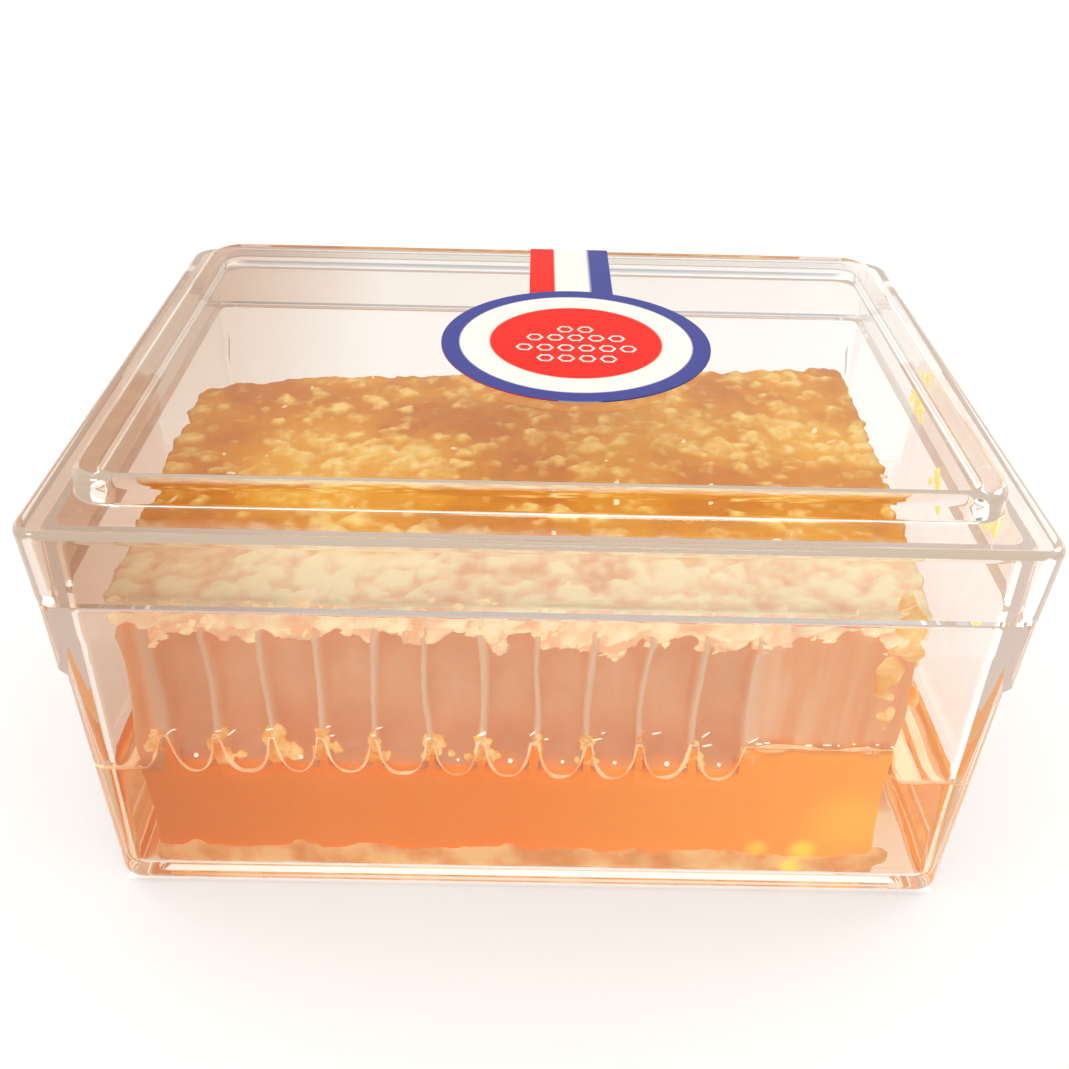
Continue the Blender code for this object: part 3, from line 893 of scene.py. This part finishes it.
def bump_field(first, second, spacing, seed, slant=0.0):
    """Height from 0 to 1 of round bumps strewn over a plane, by two coordinates of each place."""
    source = random.Random(seed)
    height = np.zeros(len(first))
    low_first, low_second = first.min(), second.min()
    for column in range(math.ceil((first.max() - low_first) / spacing) + 1):
        for row in range(math.ceil((second.max() - low_second) / spacing) + 1):
            centre_first = low_first + (column + source.uniform(-0.45, 0.45) + 0.5 * (row % 2)) * spacing
            centre_second = low_second + (row + source.uniform(-0.45, 0.45)) * spacing
            reach = spacing * source.uniform(0.45, 0.85)
            rise = source.uniform(0.35, 1.0)
            across = first - centre_first - slant * (second - centre_second)
            away = (across ** 2 + (second - centre_second) ** 2) / reach ** 2
            height = np.maximum(height, rise * (1 - away))
    return height


rng = random.Random(5)
caps_builder = bmesh.new()
caps_outline = []
caps_sides = shift_path(COMB_CORNERS, -CAPS_OVERHANG, closed=True)
for x, y in softened(divided([np.array(caps_sides)], 2.0 * MM)[0], 1):
    ragged = 0.45 * MM * noise.noise(Vector((x, y, 0.0)) / (2.2 * MM))
    caps_outline.append((x + ragged, max(y + ragged, COMB_FRONT - WALL_CLEARANCE)))
add_slab(caps_builder, caps_outline, CAPS_FOOT, CAPS_TOP)
for _ in range(TORN_FLAPS):
    x = rng.uniform(-38.5, 34.0) * MM
    radius = rng.uniform(0.35, 1.3) * MM
    drop = rng.uniform(-1.5, 0.9) * MM
    add_lump(caps_builder, (x, COMB_FRONT + rng.uniform(0.35, 0.7) * MM, CAPS_FOOT + drop),
             (radius, 0.5 * MM, radius * rng.uniform(0.7, 1.8)),
             rng.uniform(-0.2, 0.2), rng.uniform(-0.3, 0.3))
for flap_x, flap_z, width, fall in HANGING_FLAPS:
    add_lump(caps_builder, (flap_x * MM, COMB_FRONT + 0.5 * MM, flap_z * MM),
             (width * MM, 0.55 * MM, fall * MM), 0.05, 0.1)
caps_points, caps_normals, caps_faces = melted(caps_builder, CAPS_SKIN)
upward = np.clip(caps_normals[:, 2], 0.0, 1.0)
forward = np.clip(-caps_normals[:, 1], 0.0, 1.0)
patch = np.clip(0.8 + 0.8 * noise_at(caps_points, 9.0 * MM, 2.0), 0.45, 1.0)
warp = np.column_stack([0.9 * MM * noise_at(caps_points, 2.0 * MM, seed) for seed in (21.0, 22.0, 23.0)])
bent = caps_points + warp
push = upward * BUMP_RISE * patch * bump_field(bent[:, 0], bent[:, 1], BUMP_SPACING, 8)
push -= forward * FRONT_HOLLOW * (1 - bump_field(bent[:, 0], bent[:, 2], 1.05 * BUMP_SPACING, 9, 0.7))
push += 0.2 * MM * noise_at(caps_points, 1.6 * MM, 4.0) + 0.2 * MM * noise_at(caps_points, 0.8 * MM, 7.0)
caps_points += caps_normals * push[:, None]
caps_points[:, 1] = np.maximum(caps_points[:, 1], COMB_FRONT - WALL_CLEARANCE)


def capping_wax():
    """Golden wet wax in the hollows, cream on the raised and torn parts. It glows in its own colour, more
    below the top: painted light for the torn front that the lid and caps shade.
    """
    finish, tree, shader = wax_finish("capping_wax", 0.45, 0.0, 0.15)
    shader.inputs["Specular IOR Level"].default_value = 0.2
    place, axes = object_axes(tree)
    wide = mottling(tree, place, 75.0, 3.0)
    fine = mottling(tree, place, 620.0, 4.0)
    wet = color_ramp(tree, wide, (
        (0.38, (0.66, 0.22, 0.008)), (0.5, (0.77, 0.31, 0.012)), (0.65, (0.86, 0.41, 0.03)),
    ))
    dry = color_ramp(tree, fine, ((0.3, (0.88, 0.48, 0.06)), (0.7, (1.0, 0.74, 0.26))))
    rise = compute(tree, "MULTIPLY_ADD", fine, 0.5 * MM, axes["Z"])
    rise = compute(tree, "MULTIPLY_ADD", wide, 1.1 * MM, rise)
    top = blend(tree, share_between(tree, rise, CAPS_TOP + 1.0 * MM, CAPS_TOP + 1.35 * MM), wet, dry)
    hollow = compute(tree, "MULTIPLY_ADD", fine, 0.6 * MM, axes["Y"])
    pressed = compute(tree, "MAXIMUM",
                      share_between(tree, hollow, COMB_FRONT + 1.0 * MM, COMB_FRONT + 0.25 * MM),
                      share_between(tree, rise, CAPS_TOP + 0.6 * MM, CAPS_TOP + 1.15 * MM))
    crumb = blend(tree, pressed, (0.84, 0.50, 0.30), (1.0, 0.85, 0.56))
    inland = compute(tree, "MULTIPLY_ADD", wide, 9.0 * MM, axes["Y"])
    torn = share_between(tree, inland, COMB_FRONT + 15.5 * MM, COMB_FRONT + 12.0 * MM)
    color = blend(tree, torn, top, crumb)
    paint(tree, shader, color, color)
    # Painted glow: stronger below the caps' top, on the shaded torn front.
    painted_glow_strength = share_between(tree, axes["Z"], CAPS_TOP, CAPS_TOP - 1.5 * MM, 0.2, 0.42)
    tree.links.new(painted_glow_strength, shader.inputs["Emission Strength"])
    add_bump(tree, shader, fine, 0.6, 0.25 * MM)
    return finish


caps = new_piece("torn_caps", caps_points, caps_faces, capping_wax(), "capping_wax")
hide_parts("comb_caps_upper")


# ---- Lower caps -----------------------------------------------------------------------------
# The same sheet of wax caps on the slab's underside. It lies on the tub's floor, under the
# honey, with a wavy upper edge where the sunken cells begin.

LOWER_FOOT = 2.3 * MM
LOWER_TOP = 5.3 * MM
LOWER_OVERHANG = 0.25 * MM
WAVES = 30

lower_builder = bmesh.new()
add_slab(lower_builder, shift_path(COMB_CORNERS, -LOWER_OVERHANG, closed=True), LOWER_FOOT, LOWER_TOP)
for i in range(WAVES):
    x = (-37.5 + 2.55 * i + rng.uniform(-0.5, 0.5)) * MM
    add_lump(lower_builder, (x, COMB_FRONT + 0.5 * MM, LOWER_TOP - 0.5 * MM),
             (rng.uniform(1.0, 2.2) * MM, 0.6 * MM, rng.uniform(0.5, 1.9) * MM))
lower_points, _, lower_faces = melted(
    lower_builder, 0.5 * MM, 0.5 * MM, 2.2 * MM, 11.0, COMB_FRONT - WALL_CLEARANCE)
lower_points[:, 2] = np.maximum(lower_points[:, 2], FLOOR_TOP + 0.1 * MM)


def lower_wax():
    """Soaked beige wax, streaked with orange. A painted glow, with painted spots of yellow light, lightens
    it.
    """
    finish, tree, shader = wax_finish("lower_wax", 0.35, 0.3, 0.3)
    shader.inputs["Emission Strength"].default_value = SOAKED_GLOW
    place, _ = object_axes(tree)
    streak = mottling(tree, place, 260.0, 3.0)
    color = color_ramp(tree, streak, (
        (0.35, (0.84, 0.42, 0.16)), (0.5, (0.93, 0.58, 0.28)), (0.65, (0.99, 0.78, 0.48)),
    ))
    glow = color_ramp(tree, streak, ((0.4, (0.60, 0.27, 0.09)), (0.62, (0.80, 0.50, 0.24))))
    paint(tree, shader, color, painted_light_spots(tree, place, glow))
    add_bump(tree, shader, streak, 0.4, 0.3 * MM)
    return finish


lower_caps = new_piece("sunken_caps", lower_points, lower_faces, lower_wax(), "lower_wax")
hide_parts("comb_caps_lower")


# ---- Honey ----------------------------------------------------------------------------------
# Honey that drained from the cut cells lies on the tub's floor. It is clear and amber, and it
# climbs the wax: each open cell holds a round bowl of air over it, with a bright rim.

HONEY_LEVEL = 15.4 * MM
CLIMB_LEVEL = 18.0 * MM
HONEY_CLIMB = 4.4 * MM
HONEY_REACH = 2.0 * MM
HONEY_CLING = 0.05 * MM
POCKET_CLIMB = 0.25
PLASTIC_CLIMB = 0.9 * MM
PLASTIC_REACH = 0.7 * MM
INTO_WALL = 0.15 * MM
HONEY_STEP = 0.36 * MM


def distance_to(outline, places):
    """Shortest distance from each place to the sides of a closed outline."""
    way = np.roll(outline, -1, axis=0) - outline
    reach = (way ** 2).sum(axis=1)
    nearest = np.full(len(places), np.inf)
    for a, b, square in zip(outline, way, reach):
        offset = places - a
        share = np.clip((offset @ b) / max(square, 1e-16), 0.0, 1.0)
        nearest = np.minimum(nearest, ((offset - share[:, None] * b) ** 2).sum(axis=1))
    return np.sqrt(nearest)


def is_inside(outline, places):
    """Whether each place lies inside a closed outline."""
    inside = np.zeros(len(places), dtype=bool)
    for (ax, ay), (bx, by) in zip(outline, np.roll(outline, -1, axis=0)):
        crosses = (ay > places[:, 1]) != (by > places[:, 1])
        if ay != by:
            inside ^= crosses & (places[:, 0] < (bx - ax) * (places[:, 1] - ay) / (by - ay) + ax)
    return inside


def honey_heights(places, wall_distance):
    """Height of the honey. It climbs high in the narrow gap between the wax and the front wall,
    and less inside the cells and up the plastic."""
    level = np.abs(heights - CLIMB_LEVEL).argmin()
    wax = cell_points[level * ring_count:(level + 1) * ring_count, :2]
    probes = np.column_stack((places[:, 0], np.maximum(places[:, 1], COMB_FRONT + 0.4 * MM)))
    from_wax = np.where(is_inside(wax, probes), 0.0, distance_to(wax, probes))
    fall = 1 - np.clip((from_wax - HONEY_CLING) / HONEY_REACH, 0.0, 1.0)
    inward = np.clip((places[:, 1] - COMB_FRONT) / (1.6 * MM), 0.0, 1.0)
    climb = HONEY_CLIMB * (1 - np.sqrt(1 - fall ** 2)) * (1 - (1 - POCKET_CLIMB) * inward)
    climb *= np.clip((places[:, 0] - OPEN_START + 2.4 * MM) / (2.0 * MM), 0.0, 1.0) ** 1.7
    climb *= np.clip((37.4 * MM - places[:, 0]) / (1.6 * MM), 0.2, 1.0)
    climb += PLASTIC_CLIMB * np.exp(-wall_distance / PLASTIC_REACH)
    ripple = 0.25 * MM * noise_at(np.column_stack((places, np.zeros(len(places)))), 5.0 * MM, 1.0)
    return HONEY_LEVEL + climb + ripple


honey_half = [size / 2 - inner_inset(HONEY_LEVEL) + INTO_WALL for size in (LID_LENGTH, LID_WIDTH)]
honey_counts = [math.ceil(2 * half / HONEY_STEP) for half in honey_half]
honey_lines = [np.linspace(-half, half, count + 1) for half, count in zip(honey_half, honey_counts)]
grid_x, grid_y = (axis.ravel() for axis in np.meshgrid(*honey_lines, indexing="ij"))
wall_gap = np.minimum(honey_half[0] - np.abs(grid_x), honey_half[1] - np.abs(grid_y))
grid_z = honey_heights(np.column_stack((grid_x, grid_y)), np.maximum(wall_gap - INTO_WALL, 0.0))
rows, columns = honey_counts[0] + 1, honey_counts[1] + 1
surface = np.arange(rows * columns).reshape(rows, columns)
honey_faces = [
    (surface[i, j], surface[i + 1, j], surface[i + 1, j + 1], surface[i, j + 1])
    for i in range(rows - 1) for j in range(columns - 1)
]
edge = [*surface[:-1, 0], *surface[-1, :-1], *surface[:0:-1, -1], *surface[0, :0:-1]]
honey_points = [np.column_stack((grid_x, grid_y, grid_z))]
honey_depths = ((9.0 * MM, 0.0), (4.0 * MM, 0.0), (2.3 * MM, 0.35 * MM), (FLOOR_TOP - 0.1 * MM, 1.2 * MM))
upper_loop = edge
for number, (height, pull) in enumerate(honey_depths):
    start = rows * columns + number * len(edge)
    loop = list(range(start, start + len(edge)))
    scale_x, scale_y = (
        (half - (inner_inset(height) - inner_inset(HONEY_LEVEL)) - pull) / half for half in honey_half
    )
    honey_points.append(np.array([(grid_x[i] * scale_x, grid_y[i] * scale_y, height) for i in edge]))
    honey_faces += band(upper_loop, loop)
    upper_loop = loop
honey_faces.append(tuple(upper_loop))


def clear_honey():
    """Runny honey: clear, glossy and amber in the depth."""
    finish, tree, shader = new_finish("clear_honey", {
        "Roughness": 0.0, "IOR": 1.49, "Specular Tint": (0.45, 0.45, 0.45, 1.0), "Transmission Weight": 1.0})
    place, _ = object_axes(tree)
    paint(tree, shader, color_ramp(tree, mottling(tree, place, 120.0, 2.0), (
        (0.3, (1.0, 0.84, 0.64)), (0.7, (1.0, 0.88, 0.72)),
    )))
    # Painted glow: amber light for rays that run long inside the honey.
    with_late_glow(tree, shader, (0.86, 0.40, 0.16, 1.0))
    depth = add_node(tree, "ShaderNodeVolumeAbsorption", {"Color": (0.97, 0.62, 0.20, 1.0), "Density": 25.0})
    tree.links.new(depth.outputs["Volume"], tree.nodes["Material Output"].inputs["Volume"])
    return finish


honey = new_piece("drained_honey", np.concatenate(honey_points), honey_faces, clear_honey(),
                  "honey", 50)
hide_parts("honey_pool")


# ---- Bowl rims ------------------------------------------------------------------------------
# Where the honey meets the front wall, its edge is drawn up into a thin bead that runs from cell to cell in
# arcs and clings to the plastic. Its glow is a painted highlight for the bright line that the honey's edge
# catches.

RIM_THICK = 0.15 * MM
RIM_SIDES = 6
FRONT_WALL = LID_WIDTH / 2 - inner_inset(17.0 * MM)


def tube(path, radii, sides):
    """Points and faces of a closed tube along a path in the plane of the front wall."""
    points = []
    for i, (place, radius) in enumerate(zip(path, radii)):
        ahead = path[min(i + 1, len(path) - 1)] - path[max(i - 1, 0)]
        up = Vector((0.0, 1.0, 0.0)).cross(ahead).normalized()
        for side in range(sides):
            angle = 2 * math.pi * side / sides
            out = math.cos(angle) * Vector((0.0, 1.0, 0.0)) + math.sin(angle) * up
            points.append(place + float(radius) * out)
    loops = [range(i * sides, (i + 1) * sides) for i in range(len(path))]
    return points, ring_faces(loops)


def golden_finish(name, pale, deep, clear, glow):
    """Thick honey in a thin layer: golden and glossy, streaked with wax. It glows in its own colour at the
    given strength: painted light for light that shines through it.
    """
    finish, tree, shader = new_finish(name, {
        "Roughness": 0.12, "Coat Weight": 0.6, "Coat Roughness": 0.03, "Transmission Weight": clear,
        "IOR": 1.45, "Emission Strength": glow})
    place, _ = object_axes(tree)
    streak = mottling(tree, place, 420.0, 3.0)
    color = color_ramp(tree, streak, ((0.35, deep), (0.6, pale)))
    paint(tree, shader, color, color)
    add_bump(tree, shader, streak, 0.3, 0.2 * MM)
    return finish


rim_x = np.arange(-43.9 * MM, 43.9 * MM, 0.25 * MM)
rim_places = np.column_stack((rim_x, np.full(len(rim_x), -FRONT_WALL)))
rim_z = honey_heights(rim_places, np.full(len(rim_x), 0.3 * MM))
rim_path = [Vector((x, -FRONT_WALL + 0.12 * MM, z + 0.05 * MM)) for x, z in zip(rim_x, rim_z)]
rim_radii = RIM_THICK * np.clip(0.8 + 1.4 * noise_at(rim_path, 2.2 * MM, 9.0), 0.25, 1.8)
# The rim's glow is a painted highlight.
new_piece("bowl_rims", *tube(rim_path, rim_radii, RIM_SIDES),
          golden_finish("rim_honey", (1.0, 0.80, 0.55), (0.95, 0.62, 0.36), 0.2, 0.38), "honey")


# ---- Golden feet ----------------------------------------------------------------------------
# Lumps of wax soaked with honey that the knife pushed together. They cling to the feet of the
# cut cell walls, biggest on the left.

FEET_LEVEL = 19.0 * MM
FOOT_LUMPS = 11
BIG_FEET = 7
FOOT_TOP = 21.2

feet_builder = bmesh.new()
feet_rng = random.Random(12)
level = np.abs(heights - FEET_LEVEL).argmin() * ring_count
front_edge = cell_points[level:level + ring_count]
for wall in range(OPEN_CELLS + 1):
    wall_x = OPEN_START + wall * CELL_PITCH
    near = front_edge[np.abs(front_edge[:, 0] - wall_x) < 1.4 * MM]
    wall_x, wall_y = near[near[:, 1].argmin(), :2]
    size = feet_rng.uniform(0.5, 1.25) if wall < BIG_FEET else feet_rng.uniform(0.3, 0.6)
    for _ in range(FOOT_LUMPS):
        width = size * feet_rng.uniform(0.3, 0.95) * MM
        drop = feet_rng.uniform(0.0, 3.8)
        add_lump(feet_builder, (
            wall_x + size * (0.25 + feet_rng.uniform(-0.5, 0.6) * drop) * MM,
            wall_y + feet_rng.uniform(0.0, 0.6) * MM, (FOOT_TOP - drop) * MM,
        ), (width, 0.4 * MM, width * feet_rng.uniform(0.6, 1.5)), tilt=feet_rng.uniform(-0.9, 0.3))
feet_points, _, feet_faces = melted(
    feet_builder, 0.16 * MM, 0.28 * MM, 0.6 * MM, 3.0, -FRONT_WALL - 0.05 * MM)
# The feet's glow is painted light.
new_piece("golden_feet", feet_points, feet_faces,
          golden_finish("feet_honey", (1.0, 0.72, 0.30), (0.86, 0.40, 0.05), 0.15, 0.26), "honey")


# ---- Painted glints -------------------------------------------------------------------------
# Painted highlights: bright glowing slivers at the feet of the cut cell walls and along the honey's edge to
# their right, and round specks inside some bowls. They stand in for the glints on the honey's edge.

EDGE_GLINTS = 11

glint_builder = bmesh.new()
glint_rng = random.Random(17)
for wall in range(OPEN_CELLS + 1):
    for _ in range(glint_rng.choice((1, 2, 2))):
        add_lump(glint_builder, (
            OPEN_START + wall * CELL_PITCH + glint_rng.uniform(-0.3, 1.5) * MM,
            -FRONT_WALL + 0.3 * MM, glint_rng.uniform(20.2, 21.9) * MM,
        ), (glint_rng.uniform(0.3, 0.8) * MM, 0.1 * MM, 0.09 * MM),
                 tilt=glint_rng.uniform(-0.8, -0.2), detail=1)
    if wall < OPEN_CELLS and glint_rng.random() < (0.25 if wall < 6 else 0.9):
        drop = glint_rng.uniform(0.15, 0.26) * MM
        add_lump(glint_builder, (OPEN_START + (wall + 0.5) * CELL_PITCH + 0.2 * MM,
                                  -FRONT_WALL + 0.2 * MM, 17.9 * MM), (drop, drop, drop))
for step in range(EDGE_GLINTS):
    add_lump(glint_builder, (
        OPEN_END + (1.0 + 1.35 * step + glint_rng.uniform(-0.3, 0.3)) * MM, -FRONT_WALL + 0.3 * MM,
        glint_rng.uniform(20.4, 20.9) * MM,
    ), (glint_rng.uniform(0.15, 0.6) * MM, 0.1 * MM, 0.1 * MM), detail=1)
glint_points, _, glint_faces = melted(glint_builder, 0.06 * MM)
# Painted highlights: cream beads that glow strongly.
new_piece("painted_glints", glint_points, glint_faces,
          golden_finish("glint_finish", (1.0, 0.96, 0.88), (1.0, 0.90, 0.76), 0.0, 0.7), "cell_wax")


# ---- Corner run -----------------------------------------------------------------------------
# Thick golden honey that ran down the slab's right front corner and along its right side. It
# stands on the wax in lumps.

RUN_STEPS = 25
RUN_DROPS = 9
SIDE_LUMPS = 18

run_builder = bmesh.new()
run_rng = random.Random(21)
for step in range(RUN_STEPS + 1):
    share = step / RUN_STEPS
    add_lump(run_builder, (
        (35.0 - 1.6 * share * share + run_rng.uniform(-1.6, 1.2)) * MM,
        COMB_FRONT + run_rng.uniform(0.3, 1.0) * MM,
        (37.6 - 13.5 * share) * MM,
    ), (run_rng.uniform(0.5, 1.2) * MM, 0.6 * MM, run_rng.uniform(0.6, 1.5) * MM))
for _ in range(RUN_DROPS):
    add_lump(run_builder, (
        run_rng.uniform(33.4, 36.2) * MM, COMB_FRONT + run_rng.uniform(0.2, 0.6) * MM,
        run_rng.uniform(19.5, 27.0) * MM,
    ), (run_rng.uniform(0.2, 0.6) * MM, 0.4 * MM, run_rng.uniform(0.3, 1.1) * MM))
for step in range(SIDE_LUMPS):
    add_lump(run_builder, (
        (36.6 + run_rng.uniform(-0.4, 0.4)) * MM, (-30.5 + 2.1 * step + run_rng.uniform(-0.8, 0.8)) * MM,
        run_rng.uniform(24.0, 36.5) * MM,
    ), (0.5 * MM, run_rng.uniform(0.6, 1.4) * MM, run_rng.uniform(0.8, 2.4) * MM))
run_points, _, run_faces = melted(
    run_builder, 0.25 * MM, 0.2 * MM, 1.2 * MM, 6.0, COMB_FRONT - WALL_CLEARANCE - 0.1 * MM)
# The run's glow is painted light.
new_piece("corner_run", run_points, run_faces,
          golden_finish("run_honey", (1.0, 0.76, 0.32), (0.88, 0.48, 0.08), 0.2, 0.22), "honey")


# ---- Wall smears ----------------------------------------------------------------------------
# Golden smears of honey that the slab left high on the tub's right wall when it was laid in.
# They cling to the inside of the plastic in three groups.

# Each group's middle and half size along the wall and up it, in millimetres, and its smears.
SMEAR_GROUPS = ((2.0, 40.6, 2.6, 1.5, 12), (-8.0, 37.0, 2.0, 2.0, 4), (-25.0, 41.0, 2.0, 1.2, 5))

smear_builder = bmesh.new()
smear_rng = random.Random(33)
for middle_y, middle_z, wide, high, count in SMEAR_GROUPS:
    for _ in range(count):
        height = (middle_z + smear_rng.uniform(-high, high)) * MM
        wall_x = LID_LENGTH / 2 - inner_inset(height)
        reach = smear_rng.uniform(0.3, 1.0) * MM
        add_lump(smear_builder, (wall_x, (middle_y + smear_rng.uniform(-wide, wide)) * MM, height),
                 (0.3 * MM, reach, reach * smear_rng.uniform(0.7, 1.7)), lean=smear_rng.uniform(-0.6, 0.6))
smear_points, _, smear_faces = melted(smear_builder, 0.13 * MM, 0.15 * MM, 0.7 * MM, 6.0)
# The smears' glow is painted light.
new_piece("wall_smears", smear_points, smear_faces,
          golden_finish("smear_honey", (1.0, 0.86, 0.36), (0.98, 0.74, 0.20), 0.5, 0.35), "honey")


# ---- Wax crumbs -----------------------------------------------------------------------------
# Crumbs of dry cap wax that the knife threw up. They stick to the honey on the slab's top and
# along its torn front edge.

CRUMB_COUNT = 210

crumb_points = []
crumb_faces = []
crumb_rng = random.Random(44)
front_caps = caps_points[caps_points[:, 1] < COMB_FRONT + 0.8 * MM]
for _ in range(CRUMB_COUNT):
    at_front = crumb_rng.random() < 0.7
    nearest = crumb_rng.choice(front_caps if at_front else caps_points)
    if not at_front and nearest[2] < CAPS_TOP - 0.5 * MM:
        continue
    size = crumb_rng.uniform(0.15, 0.42) * MM
    flat = Matrix.Diagonal((crumb_rng.uniform(1.0, 2.4), 0.9, crumb_rng.uniform(0.35, 0.8)))
    lump = bmesh.new()
    bmesh.ops.create_icosphere(lump, subdivisions=2, radius=1.0)
    turn = Matrix.Rotation(crumb_rng.uniform(0, 6.28), 3, Vector((1, crumb_rng.random(), 0.4)).normalized())
    shift = Vector((crumb_rng.uniform(0, 90), 0, 0))
    start = len(crumb_points)
    for corner in lump.verts:
        place = turn @ flat @ (corner.co * (1 + 0.6 * noise.noise(corner.co * 1.5 + shift)))
        place = Vector(nearest.tolist()) + place * size
        place.y = max(place.y, COMB_FRONT - WALL_CLEARANCE)
        crumb_points.append(place)
    crumb_faces += [tuple(start + corner.index for corner in face.verts) for face in lump.faces]
    lump.free()


def crumb_wax():
    """Dry cream wax, with a painted glow in its own colour that lightens it."""
    finish, tree, shader = wax_finish("crumb_wax", 0.6, 0.05, 0.2)
    shader.inputs["Emission Strength"].default_value = 0.35
    place, _ = object_axes(tree)
    cloud = mottling(tree, place, 300.0, 2.0)
    color = color_ramp(tree, cloud, ((0.35, (0.94, 0.70, 0.42)), (0.65, (1.0, 0.88, 0.60))))
    paint(tree, shader, color, color)
    add_bump(tree, shader, cloud, 0.3, 0.2 * MM)
    return finish


new_piece("wax_crumbs", crumb_points, crumb_faces, crumb_wax(), "capping_wax")
